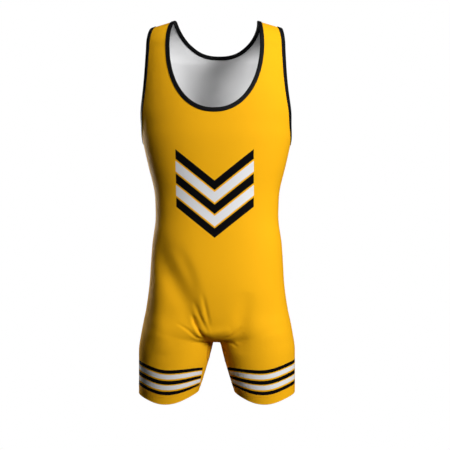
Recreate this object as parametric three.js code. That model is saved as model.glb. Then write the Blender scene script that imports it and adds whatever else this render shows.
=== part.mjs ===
// Wrestling singlet, filled out as it is worn: front towards -Y, +X to the viewer's right, +Z up.
// Lengths are in millimetres. The origin lies midway between the tops of the two shoulder straps.
// Front, back and gusset are walls of cloth on one body form, and three bindings fold over their raw edges.
import * as THREE from "three";
import { mergeVertices } from "three/addons/utils/BufferGeometryUtils.js";

// Cloth and seams
const CLOTH_WALL = 1.2;
const SEAM_GAP = 0.3;
const BINDING_WIDTH = 8;
const BINDING_WALL = 1.0;
const BINDING_CLEARANCE = 0.5;

// Levels of the body form
const STRAP_TOP_Z = -0.6;
const STRAP_TOP_X = 93.5;
const STRAP_SLOPE = 0.27;
const RIDGE_FLAT_X = 60;
const SHOULDER_BASE_Z = -70;
const NECK_CURVE_Z = -60;
const NECK_BOTTOM_Z = -205.7;
const ARMHOLE_CURVE_Z = -97;
const ARMHOLE_BOTTOM_Z = -262;
const FORK_TOP_Z = -540;
const FORK_END_Z = -686;
const HIP_BASE_Z = -630;
const CROTCH_Z = -701;

// A run is the length of cloth that a zone takes, measured down the form
const SHOULDER_RUN = 100;
const CROTCH_RUN = 110;
const LEG_RUN = 113;
const SHOULDER_END = SHOULDER_RUN;
const HIP_END = SHOULDER_END + SHOULDER_BASE_Z - HIP_BASE_Z;
const CROTCH_END = HIP_END + CROTCH_RUN;

// Squareness of the superellipses that round each form
const TORSO_SQUARENESS = 2.35;
const LEG_SQUARENESS = 2.1;
const CROTCH_SQUARENESS = 3.2;
const CROTCH_LIFT = 1;
const NECK_SQUARENESS = 2.2;
const BACK_NECK_SQUARENESS = 2.4;
const THIGH_BLEND = 9;

// Neck and armholes, as half widths at the raw edge and as angles round the form from its centre line
const NECK_HALF_WIDTH = 96.5;
const NECK_TOP_HALF_WIDTH = 89.5;
const BACK_NECK_START_DEG = 12;
const STRAP_OUTER_DEG = 55.1;
const ARMHOLE_ROUNDING = 0.62;

// Legs
const CROTCH_ARCH_RADIUS = 11;
const INSEAM_SPREAD = 30.5;
const INSEAM_POWER = 1.2;
const LEG_OUTER_HALF_WIDTH = 172;
const LEG_OUTER_RUN_IN = 0.2;
const LEG_OUTER_POWER = 1.6;
const LEG_TAPER_POWER = 1.5;
const HEM_INNER_Z = -809;
const HEM_OUTER_Z = -815;
const HEM_CURVE_POWER = 4.5;

// Gusset: its share of the way round each half, and how far it reaches from the middle of the crotch
const GUSSET_SHARE = 0.17;
const GUSSET_BODY_REACH = 42;
const GUSSET_LEG_REACH = 50;
const GUSSET_SQUARENESS = 4;
const SLANTED_SEAM_GAP = 0.8;

// One row per level of the torso: half width across, and depth in front of and behind the side seams
const TORSO_SECTIONS = [
  { z: -70, halfWidth: 168, front: 92, back: 88 },
  { z: -110, halfWidth: 170, front: 100, back: 97 },
  { z: -160, halfWidth: 171.5, front: 105, back: 100 },
  { z: -202, halfWidth: 172, front: 104.4, back: 97.6 },
  { z: -232, halfWidth: 167.6, front: 102.8, back: 94.5 },
  { z: -262, halfWidth: 163.6, front: 101, back: 91 },
  { z: -317, halfWidth: 151.5, front: 94, back: 82 },
  { z: -370, halfWidth: 138.6, front: 87, back: 75 },
  { z: -406, halfWidth: 135.8, front: 84, back: 73 },
  { z: -441, halfWidth: 136, front: 84, back: 76 },
  { z: -486, halfWidth: 142.4, front: 87, back: 87 },
  { z: -530, halfWidth: 145.6, front: 91, back: 99 },
  { z: -580, halfWidth: 148.6, front: 94, back: 106 },
  { z: -630, halfWidth: 155.5, front: 93, back: 105 },
  { z: -665, halfWidth: 163, front: 90, back: 101 },
  { z: -701, halfWidth: 169.5, front: 86, back: 96 },
];

// The front and back of the form, with what differs between them
const FRONT = {
  name: "front",
  sign: -1,
  legTopDepth: 86,
  legHemDepth: 77,
  hemShift: -14,
  armholeSpanDeg: 30,
};
const BACK = {
  name: "back",
  sign: 1,
  legTopDepth: 96,
  legHemDepth: 80,
  hemShift: 5,
  armholeSpanDeg: 34,
};

// One row per large crease: the face it lies on, its two ends seen from the front, its depth and half width
const CREASE_FADE = 0.8;
const CREASES = [
  { face: FRONT, fromX: -126, fromZ: -526, toX: -50, toZ: -604, depth: 3.8, spread: 10 },
  { face: FRONT, fromX: -78, fromZ: -566, toX: -33, toZ: -662, depth: 3.6, spread: 9 },
  { face: FRONT, fromX: -46, fromZ: -636, toX: -20, toZ: -688, depth: 4.6, spread: 6.5 },
  { face: FRONT, fromX: 100, fromZ: -556, toX: 58, toZ: -668, depth: 1.8, spread: 11 },
  { face: BACK, fromX: -104, fromZ: -640, toX: -30, toZ: -690, depth: 3.2, spread: 9 },
  { face: BACK, fromX: 98, fromZ: -648, toX: 26, toZ: -692, depth: 2.8, spread: 8 },
];

// How finely the walls are divided
const PANEL_COLUMNS = 9;
const COLUMN_GRADING = 0.75;
const GUSSET_COLUMNS = 3;
const ROW_SAMPLES = 60;
const FINE_STEP = 1e-3;
const NORMAL_RUN = 1.5;
const ROUNDING = 1e-7;
const MERGE_DISTANCE = 1e-4;
const SMALLEST_AREA_SQUARED = 1e-12;

const SHOULDER_ANGLES = [90, 74, 56, 38, 19, 0];
const NECK_ANGLES = [76, 62, 49, 37, 25, 12, 0];
const BACK_NECK_ANGLES = [90, 82, 74, 66, 58, 50, 42, 34, 26, 18, 9, 0];
const BACK_ROW_RUNS = [90, 96, 104, 128, 156, 184, 212, 232, 243];
const UNDERARM_HEIGHTS = [-223, -233, -242, -249.5, -255.5, -259.5, -261.4, ARMHOLE_BOTTOM_Z];
const WAIST_HEIGHTS = [-266, -274, -296, -322, -350, -382, -414, -448];
const HIP_HEIGHTS = [-482, -516, -548, -576, -604, HIP_BASE_Z];
const CROTCH_TURNS = [6, 16, 31, 45, 56, 61, 68, 75, 82, 90];
const LEG_DEPTHS = [1.5, 5, 10, 18, 30, 42, 48, 68, 90, LEG_RUN];

const degrees = THREE.MathUtils.degToRad;

function smoothStep(value) {
  const t = THREE.MathUtils.clamp(value, 0, 1);
  return t * t * (3 - 2 * t);
}

// Side of a superellipse of half size 1, at a distance along its other axis
function roundedSide(along, squareness) {
  const rest = 1 - Math.min(1, Math.abs(along)) ** squareness;
  return Math.max(0, rest) ** (1 / squareness);
}

// Smooth curve through one column of the section table
function sectionValue(column, z) {
  const rows = TORSO_SECTIONS;
  const last = rows.length - 1;
  const level = THREE.MathUtils.clamp(z, rows[last].z, rows[0].z);
  const i = Math.min(rows.findIndex((row) => row.z <= level + ROUNDING), last) || 1;
  const slope = (k) => {
    const above = rows[Math.max(0, k - 1)];
    const below = rows[Math.min(last, k + 1)];
    return (below[column] - above[column]) / (below.z - above.z);
  };
  const top = rows[i - 1];
  const bottom = rows[i];
  const span = bottom.z - top.z;
  const t = (level - top.z) / span;
  const fromTop = (1 + 2 * t) * (1 - t) ** 2 * top[column] + t * (1 - t) ** 2 * span * slope(i - 1);
  const fromBottom = t * t * (3 - 2 * t) * bottom[column] - t * t * (1 - t) * span * slope(i);
  return fromTop + fromBottom;
}

function strapRidgeZ(x) {
  return STRAP_TOP_Z - STRAP_SLOPE * (Math.max(x, RIDGE_FLAT_X) - STRAP_TOP_X);
}

// How far the creases press one face in at a place seen from the front
function creaseDepth(face, x, z) {
  return CREASES.filter((crease) => crease.face === face).reduce((sum, crease) => {
    const runX = crease.toX - crease.fromX;
    const runZ = crease.toZ - crease.fromZ;
    const length = Math.hypot(runX, runZ);
    const along = ((x - crease.fromX) * runX + (z - crease.fromZ) * runZ) / length ** 2;
    const across = ((x - crease.fromX) * runZ - (z - crease.fromZ) * runX) / length;
    const fade = Math.sin(Math.PI * THREE.MathUtils.clamp(along, 0, 1)) ** CREASE_FADE;
    return sum + crease.depth * fade * Math.exp(-((across / crease.spread) ** 2));
  }, 0);
}

// Shoulder: each fore-and-aft line bends over the ridge as a quarter ellipse
function shoulderPoint(face, s, run) {
  const turn = degrees(90) * (1 - run / SHOULDER_RUN);
  const angle = degrees(90) * s;
  const power = 2 / TORSO_SQUARENESS;
  const x = sectionValue("halfWidth", SHOULDER_BASE_Z) * Math.sin(angle) ** power;
  const depth = sectionValue(face.name, SHOULDER_BASE_Z) * Math.max(0, Math.cos(angle)) ** power;
  const rise = strapRidgeZ(x) - SHOULDER_BASE_Z;
  return [x, face.sign * depth * Math.cos(turn), SHOULDER_BASE_Z + rise * Math.sin(turn)];
}

// Torso: a superellipse that parts into two thighs towards the crotch, where its middle turns under
function torsoPoint(face, s, z) {
  const halfWidth = sectionValue("halfWidth", z);
  const fork = smoothStep((FORK_TOP_Z - z) / (FORK_TOP_Z - FORK_END_Z));
  const torsoX = Math.sin(degrees(90) * s) ** (2 / TORSO_SQUARENESS);
  const legX = (1 - Math.cos(Math.PI * s)) / 2;
  const x = halfWidth * THREE.MathUtils.lerp(torsoX, legX, fork);
  const lift = 1 + CROTCH_LIFT * (x / halfWidth) ** 2;
  const reach = (Math.max(0, HIP_BASE_Z - z) / (HIP_BASE_Z - CROTCH_Z)) * lift;
  const middle = roundedSide(reach, CROTCH_SQUARENESS);
  const torso = sectionValue(face.name, z) * roundedSide(x / halfWidth, TORSO_SQUARENESS) * middle;
  const thigh = face.legTopDepth * fork * roundedSide((2 * x) / halfWidth - 1, LEG_SQUARENESS);
  const depth = (torso ** THIGH_BLEND + thigh ** THIGH_BLEND) ** (1 / THIGH_BLEND);
  return [x, face.sign * depth, z];
}

// Leg: a tapering tube whose rows tilt from level at the crotch to the slant of the hem
function legPoint(face, s, depthBelow) {
  const share = depthBelow / LEG_RUN;
  const across = (1 - Math.cos(Math.PI * s)) / 2;
  const side = roundedSide(2 * across - 1, LEG_SQUARENESS);
  const arch = Math.min(depthBelow, CROTCH_ARCH_RADIUS);
  const archX = Math.sqrt(arch * (2 * CROTCH_ARCH_RADIUS - arch)) * (1 - side) ** 2;
  const inner = archX + INSEAM_SPREAD * share ** INSEAM_POWER;
  const top = sectionValue("halfWidth", CROTCH_Z);
  const flare = 1 - Math.max(0, 1 - share / LEG_OUTER_RUN_IN) ** LEG_OUTER_POWER;
  const outer = THREE.MathUtils.lerp(top, LEG_OUTER_HALF_WIDTH, flare);
  const depth = THREE.MathUtils.lerp(face.legTopDepth, face.legHemDepth, share ** LEG_TAPER_POWER);
  const hemCurve = face.hemShift * side ** HEM_CURVE_POWER;
  const hem = THREE.MathUtils.lerp(HEM_INNER_Z, HEM_OUTER_Z, across) + hemCurve;
  return [
    THREE.MathUtils.lerp(inner, outer, across),
    face.sign * depth * side,
    THREE.MathUtils.lerp(CROTCH_Z, hem, share),
  ];
}

// Point on the outside of the cloth: hand is 1 or -1 for the side of the centre line, s runs from the
// centre line or inseam (0) to the side seam (1), and run is the length of cloth down from the ridge.
function bodyPoint(face, hand, s, run) {
  let point;
  if (run <= SHOULDER_END) {
    point = shoulderPoint(face, s, run);
  } else if (run <= HIP_END) {
    point = torsoPoint(face, s, SHOULDER_BASE_Z - (run - SHOULDER_END));
  } else if (run <= CROTCH_END) {
    const turn = (degrees(90) * (run - HIP_END)) / CROTCH_RUN;
    const drop = (HIP_BASE_Z - CROTCH_Z) * Math.sin(turn) ** (2 / CROTCH_SQUARENESS);
    point = torsoPoint(face, s, HIP_BASE_Z - drop);
  } else {
    point = legPoint(face, s, run - CROTCH_END);
  }
  const [x, y, z] = point;
  const pressed = Math.min(creaseDepth(face, hand * x, z), Math.abs(y));
  return new THREE.Vector3(hand * x, y - face.sign * pressed, z);
}

// Outward normal, from differences along both directions of the form
function bodyNormal(face, hand, s, run) {
  const fromS = Math.max(0, s - FINE_STEP);
  const toS = Math.min(1, s + FINE_STEP);
  const lastRun = CROTCH_END + LEG_RUN;
  const fromRun = Math.max(0, run - NORMAL_RUN);
  const toRun = Math.min(lastRun, run + NORMAL_RUN);
  const acrossStep = bodyPoint(face, hand, toS, run).sub(bodyPoint(face, hand, fromS, run));
  const downStep = bodyPoint(face, hand, s, toRun).sub(bodyPoint(face, hand, s, fromRun));
  const normal = acrossStep.cross(downStep).multiplyScalar(hand * face.sign);
  if (s === 1) normal.set(hand, 0, 0);
  if (s === 0 && run > CROTCH_END) normal.set(-hand, 0, 0);
  if (s === 0 && run < CROTCH_END) normal.x = 0;
  if (s === 0 && run === CROTCH_END) normal.set(0, 0, -1);
  if (run === 0) normal.y = 0;
  return normal.normalize();
}

// A place on the form with its outer point and normal
function place(face, hand, s, run) {
  return { face, hand, s, run, point: bodyPoint(face, hand, s, run), normal: bodyNormal(face, hand, s, run) };
}

function sFromX(x, halfWidth) {
  return Math.asin(Math.min(1, x / halfWidth) ** (TORSO_SQUARENESS / 2)) / degrees(90);
}

function runFromZ(z) {
  return SHOULDER_END + SHOULDER_BASE_Z - z;
}

function runFromTurn(turnDeg) {
  return SHOULDER_RUN * (1 - turnDeg / 90);
}

// Armhole edge as a share of the way round the form
function armholeS(face, run) {
  if (run <= SHOULDER_END) {
    const rise = Math.sin(degrees(90) * (1 - run / SHOULDER_RUN));
    const base = 90 - face.armholeSpanDeg;
    return (base + (STRAP_OUTER_DEG - base) * rise * rise) / 90;
  }
  const z = SHOULDER_BASE_Z - (run - SHOULDER_END);
  if (z <= ARMHOLE_BOTTOM_Z) return 1;
  const drop = Math.max(0, (ARMHOLE_CURVE_Z - z) / (ARMHOLE_CURVE_Z - ARMHOLE_BOTTOM_Z));
  return 1 - (face.armholeSpanDeg / 90) * (1 - drop * drop) ** ARMHOLE_ROUNDING;
}

// Row down a panel: where it starts and ends round the form, and how much is trimmed off its ends
function panelRow(face, run, startS, startTrim, open) {
  const endS = armholeS(face, run);
  return { run, startS, endS, startTrim, endTrim: endS < 1 ? 0 : SEAM_GAP / 2, open };
}

// Row of the upper body, which starts at the neck edge or, where neckX is 0, at the centre line
function neckRow(face, run, neckX) {
  const z = Math.min(SHOULDER_BASE_Z, SHOULDER_BASE_Z - (run - SHOULDER_END));
  return panelRow(face, run, sFromX(neckX, sectionValue("halfWidth", z)), 0, neckX > 0);
}

function frontNeckRows() {
  const rows = SHOULDER_ANGLES.map((turnDeg, k) => {
    const widening = (NECK_HALF_WIDTH - NECK_TOP_HALF_WIDTH) * Math.cos(degrees(turnDeg)) ** 2;
    const run = k === 0 ? SEAM_GAP / 2 : runFromTurn(turnDeg);
    return neckRow(FRONT, run, NECK_TOP_HALF_WIDTH + widening);
  });
  NECK_ANGLES.forEach((angleDeg) => {
    const power = 2 / NECK_SQUARENESS;
    const drop = Math.cos(degrees(angleDeg)) ** power;
    const x = angleDeg > 0 ? NECK_HALF_WIDTH * Math.sin(degrees(angleDeg)) ** power : 0;
    const z = NECK_CURVE_Z + (NECK_BOTTOM_Z - NECK_CURVE_Z) * drop;
    rows.push(neckRow(FRONT, runFromZ(z), x));
  });
  return rows;
}

function backNeckRows() {
  const rows = BACK_NECK_ANGLES.map((angleDeg, k) => {
    const power = 2 / BACK_NECK_SQUARENESS;
    const drop = Math.max(0, Math.cos(degrees(angleDeg))) ** power;
    const turnDeg = 90 - (90 - BACK_NECK_START_DEG) * drop;
    const x = angleDeg > 0 ? NECK_TOP_HALF_WIDTH * Math.sin(degrees(angleDeg)) ** power : 0;
    return neckRow(BACK, k === 0 ? SEAM_GAP / 2 : runFromTurn(turnDeg), x);
  });
  BACK_ROW_RUNS.forEach((run) => rows.push(neckRow(BACK, run, 0)));
  return rows;
}

// Edge of the gusset, as a share of the way round each half
function gussetS(run) {
  const reach = run < CROTCH_END ? GUSSET_BODY_REACH : GUSSET_LEG_REACH;
  const rest = 1 - (Math.abs(run - CROTCH_END) / reach) ** GUSSET_SQUARENESS;
  return rest > 0 ? GUSSET_SHARE * Math.sqrt(rest) : 0;
}

function lowerRuns() {
  return [
    ...[...UNDERARM_HEIGHTS, ...WAIST_HEIGHTS, ...HIP_HEIGHTS].map(runFromZ),
    ...CROTCH_TURNS.map((turnDeg) => HIP_END + (CROTCH_RUN * turnDeg) / 90),
    ...LEG_DEPTHS.map((depth) => CROTCH_END + depth),
  ];
}

function lowerRows(face) {
  return lowerRuns().map((run) => {
    const startS = gussetS(run);
    if (startS > 0) return panelRow(face, run, startS, SLANTED_SEAM_GAP / 2, true);
    return panelRow(face, run, 0, run > CROTCH_END ? SEAM_GAP / 2 : 0, run > CROTCH_END);
  });
}

// Places along one row at set lengths of cloth, found on a finely divided copy of the row
function placesAlong(face, hand, row, lengthsFor) {
  const stations = [];
  let length = 0;
  let previous = null;
  for (let k = 0; k <= ROW_SAMPLES; k += 1) {
    const s = THREE.MathUtils.lerp(row.startS, row.endS, k / ROW_SAMPLES);
    const point = bodyPoint(face, hand, s, row.run);
    length += previous ? point.distanceTo(previous) : 0;
    stations.push({ s, length });
    previous = point;
  }
  return lengthsFor(length).map((wanted) => {
    const above = Math.max(1, stations.findIndex((station) => station.length >= wanted - ROUNDING));
    const from = stations[above - 1];
    const to = stations[above];
    const t = (wanted - from.length) / (to.length - from.length);
    const s = THREE.MathUtils.lerp(from.s, to.s, THREE.MathUtils.clamp(t, 0, 1));
    return place(face, hand, s > 1 - ROUNDING ? 1 : s, row.run);
  });
}

// A panel's row has a narrow column under the binding at each end and wider ones between
function panelRowPlaces(face, hand, row) {
  return placesAlong(face, hand, row, (length) => {
    const start = row.startTrim;
    const end = length - row.endTrim;
    const inner = start + BINDING_WIDTH;
    const outer = end - BINDING_WIDTH;
    const lengths = [start];
    for (let k = 0; k <= PANEL_COLUMNS; k += 1) {
      const even = k / PANEL_COLUMNS;
      const graded = (1 - Math.cos(Math.PI * even)) / 2;
      lengths.push(THREE.MathUtils.lerp(inner, outer, THREE.MathUtils.lerp(even, graded, COLUMN_GRADING)));
    }
    return [...lengths, end];
  });
}

// Collects triangles and turns them into one closed body
class WallBuilder {
  constructor() {
    this.positions = [];
  }

  triangle(a, b, c, flip) {
    const [p, q, r] = flip ? [a, c, b] : [a, b, c];
    const area = new THREE.Vector3().subVectors(q, p).cross(new THREE.Vector3().subVectors(r, p));
    if (area.lengthSq() < SMALLEST_AREA_SQUARED) return;
    this.positions.push(...p.toArray(), ...q.toArray(), ...r.toArray());
  }

  quad(a, b, c, d, flip) {
    this.triangle(a, b, c, flip);
    this.triangle(a, c, d, flip);
  }

  // Outer and inner skins of a grid of places, and the rims named by openStart, openEnd, top and bottom
  wall(grid, flip, rims) {
    const skins = grid.map((row) =>
      row.map(({ point, normal }) => ({
        out: point,
        in: point.clone().addScaledVector(normal, -CLOTH_WALL),
      })),
    );
    for (let k = 0; k + 1 < skins.length; k += 1) {
      const a = skins[k];
      const b = skins[k + 1];
      const last = a.length - 1;
      for (let j = 0; j < last; j += 1) {
        this.quad(a[j].out, b[j].out, b[j + 1].out, a[j + 1].out, flip);
        this.quad(a[j].in, a[j + 1].in, b[j + 1].in, b[j].in, flip);
      }
      if (rims.openStart(k)) this.quad(a[0].out, a[0].in, b[0].in, b[0].out, flip);
      if (rims.openEnd(k)) this.quad(a[last].out, b[last].out, b[last].in, a[last].in, flip);
    }
    const ends = [
      { row: skins[0], turned: true, wanted: rims.top },
      { row: skins[skins.length - 1], turned: false, wanted: rims.bottom },
    ];
    ends
      .filter((end) => end.wanted)
      .forEach(({ row, turned }) => {
        for (let j = 0; j + 1 < row.length; j += 1) {
          this.quad(row[j].out, row[j].in, row[j + 1].in, row[j + 1].out, flip !== turned);
        }
      });
  }

  geometry() {
    const loose = new THREE.BufferGeometry();
    loose.setAttribute("position", new THREE.Float32BufferAttribute(this.positions, 3));
    const merged = mergeVertices(loose, MERGE_DISTANCE);
    merged.computeVertexNormals();
    return merged;
  }
}

function panelGeometry(face, rows) {
  const builder = new WallBuilder();
  [1, -1].forEach((hand) => {
    const grid = rows.map((row) => panelRowPlaces(face, hand, row));
    builder.wall(grid, hand * face.sign > 0, {
      openStart: (k) => rows[k].open || rows[k + 1].open,
      openEnd: () => true,
      top: true,
      bottom: true,
    });
  });
  return builder.geometry();
}

// The gusset has four quarters, which meet on the centre line above the crotch and on the inseams below
function gussetGeometry() {
  const runs = lowerRuns().filter((run) => gussetS(run) > 0);
  const builder = new WallBuilder();
  [FRONT, BACK].forEach((face) => {
    [1, -1].forEach((hand) => {
      const grid = runs.map((run) => {
        const row = { run, startS: 0, endS: gussetS(run) };
        return placesAlong(face, hand, row, (length) => {
          const reach = length - SLANTED_SEAM_GAP / 2;
          return Array.from({ length: GUSSET_COLUMNS + 1 }, (_, k) => (reach * k) / GUSSET_COLUMNS);
        });
      });
      builder.wall(grid, hand * face.sign > 0, {
        openStart: () => false,
        openEnd: () => true,
        top: true,
        bottom: true,
      });
    });
  });
  return builder.geometry();
}

// Place on the form at a small distance from another, in a direction that lies in the cloth
function steppedPlace(from, direction, distance) {
  const { face, hand, s, run } = from;
  const sStep = s > 0.5 ? -FINE_STEP : FINE_STEP;
  const alongS = bodyPoint(face, hand, s + sStep, run).sub(from.point).divideScalar(sStep);
  const alongRun = bodyPoint(face, hand, s, run + NORMAL_RUN).sub(from.point).divideScalar(NORMAL_RUN);
  const step = direction.clone().multiplyScalar(distance);
  const ss = alongS.dot(alongS);
  const sr = alongS.dot(alongRun);
  const rr = alongRun.dot(alongRun);
  const det = ss * rr - sr * sr;
  const ds = (step.dot(alongS) * rr - step.dot(alongRun) * sr) / det;
  const dRun = (step.dot(alongRun) * ss - step.dot(alongS) * sr) / det;
  return place(face, hand, THREE.MathUtils.clamp(s + ds, 0, 1), Math.max(0, run + dRun));
}

// Folded strip round a closed edge: its section is a U that holds the raw edge of the cloth
function bindingGeometry(edge) {
  const near = BINDING_CLEARANCE;
  const far = BINDING_CLEARANCE + BINDING_WALL;
  const sections = edge.map((spot, k) => {
    const before = edge[(k + edge.length - 1) % edge.length].point;
    const after = edge[(k + 1) % edge.length].point;
    const tangent = after.clone().sub(before).normalize();
    const inward = tangent.clone().cross(spot.normal).normalize();
    const leg = steppedPlace(spot, inward, BINDING_WIDTH);
    const at = (base, lift, back) =>
      base.point.clone().addScaledVector(base.normal, lift).addScaledVector(inward, -back);
    return [
      at(leg, far, 0),
      at(spot, far, 0),
      at(spot, far - CLOTH_WALL / 2, far),
      at(spot, -CLOTH_WALL - far + CLOTH_WALL / 2, far),
      at(spot, -CLOTH_WALL - far, 0),
      at(leg, -CLOTH_WALL - far, 0),
      at(leg, -CLOTH_WALL - near, 0),
      at(spot, -CLOTH_WALL - near, near),
      at(spot, near, near),
      at(leg, near, 0),
    ];
  });
  const builder = new WallBuilder();
  sections.forEach((section, k) => {
    const next = sections[(k + 1) % sections.length];
    section.forEach((corner, j) => {
      const j2 = (j + 1) % section.length;
      builder.quad(corner, section[j2], next[j2], next[j], true);
    });
  });
  return builder.geometry();
}

// Closed neck edge, from the front of the right side over both shoulders and back again
function neckEdge(frontRows, backRows) {
  const quarter = (face, rows, hand) =>
    rows
      .filter((row) => row.open && row.run < runFromZ(NECK_BOTTOM_Z))
      .map((row, k) => place(face, hand, row.startS, k === 0 ? 0 : row.run));
  const bottom = (face, rows) => place(face, 1, 0, rows.find((row) => !row.open).run);
  return [
    bottom(FRONT, frontRows),
    ...quarter(FRONT, frontRows, 1).reverse(),
    ...quarter(BACK, backRows, 1).slice(1),
    bottom(BACK, backRows),
    ...quarter(BACK, backRows, -1).slice(1).reverse(),
    ...quarter(FRONT, frontRows, -1),
  ];
}

// Closed armhole edge of one side, up the front and down the back
function armholeEdge(frontRows, backRows, hand) {
  const half = (face, rows) =>
    rows.filter((row) => row.endS < 1).map((row, k) => place(face, hand, row.endS, k === 0 ? 0 : row.run));
  const bottom = place(FRONT, hand, 1, runFromZ(ARMHOLE_BOTTOM_Z));
  const loop = [bottom, ...half(FRONT, frontRows).reverse(), ...half(BACK, backRows).slice(1)];
  return hand > 0 ? loop.reverse() : loop;
}

const FRONT_ROWS = [...frontNeckRows(), ...lowerRows(FRONT)];
const BACK_ROWS = [...backNeckRows(), ...lowerRows(BACK)];

// Materials
const goldCloth = new THREE.MeshStandardMaterial({ color: 0xffb31a, roughness: 0.62, metalness: 0 });
const blackBinding = new THREE.MeshStandardMaterial({ color: 0x101014, roughness: 0.6, metalness: 0 });

const singlet = new THREE.Group();

function sew(name, geometry, material) {
  const mesh = new THREE.Mesh(geometry, material);
  mesh.name = name;
  singlet.add(mesh);
}

sew("front_panel", panelGeometry(FRONT, FRONT_ROWS), goldCloth);
sew("back_panel", panelGeometry(BACK, BACK_ROWS), goldCloth);
sew("crotch_gusset", gussetGeometry(), goldCloth);
sew("neck_binding", bindingGeometry(neckEdge(FRONT_ROWS, BACK_ROWS)), blackBinding);
sew("armhole_binding_left", bindingGeometry(armholeEdge(FRONT_ROWS, BACK_ROWS, -1)), blackBinding);
sew("armhole_binding_right", bindingGeometry(armholeEdge(FRONT_ROWS, BACK_ROWS, 1)), blackBinding);

export default singlet;
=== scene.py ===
"""Looks of a wrestling singlet, filled out as it is worn.

Knit panels, folded bindings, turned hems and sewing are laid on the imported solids. The sizes of the
body form are in millimetres, as a cutter would give them, and each mesh is made in metres.
"""

import logging
import math
from collections.abc import Callable, Sequence
from dataclasses import dataclass, field
from enum import Enum
from typing import Any

import bmesh
import bpy
import numpy as np
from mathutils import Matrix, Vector

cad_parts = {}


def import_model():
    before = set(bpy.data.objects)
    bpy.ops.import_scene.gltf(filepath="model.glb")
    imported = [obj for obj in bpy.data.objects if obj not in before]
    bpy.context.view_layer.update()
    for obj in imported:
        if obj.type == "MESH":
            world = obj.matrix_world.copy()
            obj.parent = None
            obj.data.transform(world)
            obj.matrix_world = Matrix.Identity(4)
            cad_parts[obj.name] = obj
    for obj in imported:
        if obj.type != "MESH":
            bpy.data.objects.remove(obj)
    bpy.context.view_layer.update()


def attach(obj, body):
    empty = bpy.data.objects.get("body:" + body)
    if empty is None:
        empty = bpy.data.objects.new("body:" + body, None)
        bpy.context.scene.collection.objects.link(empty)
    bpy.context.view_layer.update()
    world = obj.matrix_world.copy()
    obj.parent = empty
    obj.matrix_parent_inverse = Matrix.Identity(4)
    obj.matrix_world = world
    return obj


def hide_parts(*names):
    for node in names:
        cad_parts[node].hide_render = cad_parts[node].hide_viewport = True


LOG = logging.getLogger("singlet")
MM = 0.001
Colour = tuple[float, float, float, float]
Grid = np.ndarray


class Hand(Enum):
    """Side of the centre line, as seen from the front."""

    LEFT = -1
    RIGHT = 1


class Skin(Enum):
    """Material slots of a wall of cloth."""

    OUTSIDE = 0
    REVERSE = 1


@dataclass(frozen=True)
class Face:
    """What differs between the front and the back of the body form."""

    name: str
    sign: int
    leg_top_depth: float
    leg_hem_depth: float
    hem_shift: float
    armhole_span: float


FRONT = Face("front", -1, 86.0, 77.0, -14.0, 30.0)
BACK = Face("back", 1, 96.0, 80.0, 5.0, 34.0)


@dataclass(frozen=True)
class Crease:
    """Soft trough along a path of places seen from the front, with a small ridge beside it."""

    face: Face
    path: tuple[tuple[float, float], ...]
    depth: float
    spread: float
    ridge: float = 0.0

    def press(self, x: Grid, z: Grid) -> Grid:
        """Work out how far the crease presses the cloth in.

        Args:
            x: Places across the garment, in mm.
            z: Heights, in mm.

        Returns:
            Depths in mm, of the shape of x.
        """
        corners = np.array(self.path)
        steps = np.diff(corners, axis=0)
        lengths = np.hypot(steps[:, 0], steps[:, 1])
        best = np.full(x.shape, 1e9)
        side = np.zeros(x.shape)
        share = np.zeros(x.shape)
        for k, (start, step, length) in enumerate(zip(corners[:-1], steps, lengths)):
            rx, rz = x - start[0], z - start[1]
            t = np.clip((rx * step[0] + rz * step[1]) / length**2, 0, 1)
            dx, dz = rx - t * step[0], rz - t * step[1]
            distance = np.hypot(dx, dz)
            near = distance < best
            best = np.where(near, distance, best)
            side = np.where(near, np.sign(rx * step[1] - rz * step[0]), side)
            share = np.where(near, (lengths[:k].sum() + t * length) / lengths.sum(), share)
        fade = np.sin(np.pi * np.clip(share, 0, 1)) ** 0.8
        trough = np.exp(-((best / self.spread) ** 2))
        bank = np.exp(-(((best * side - 1.7 * self.spread) / self.spread) ** 2))
        return self.depth * fade * (trough - self.ridge * bank)


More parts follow.
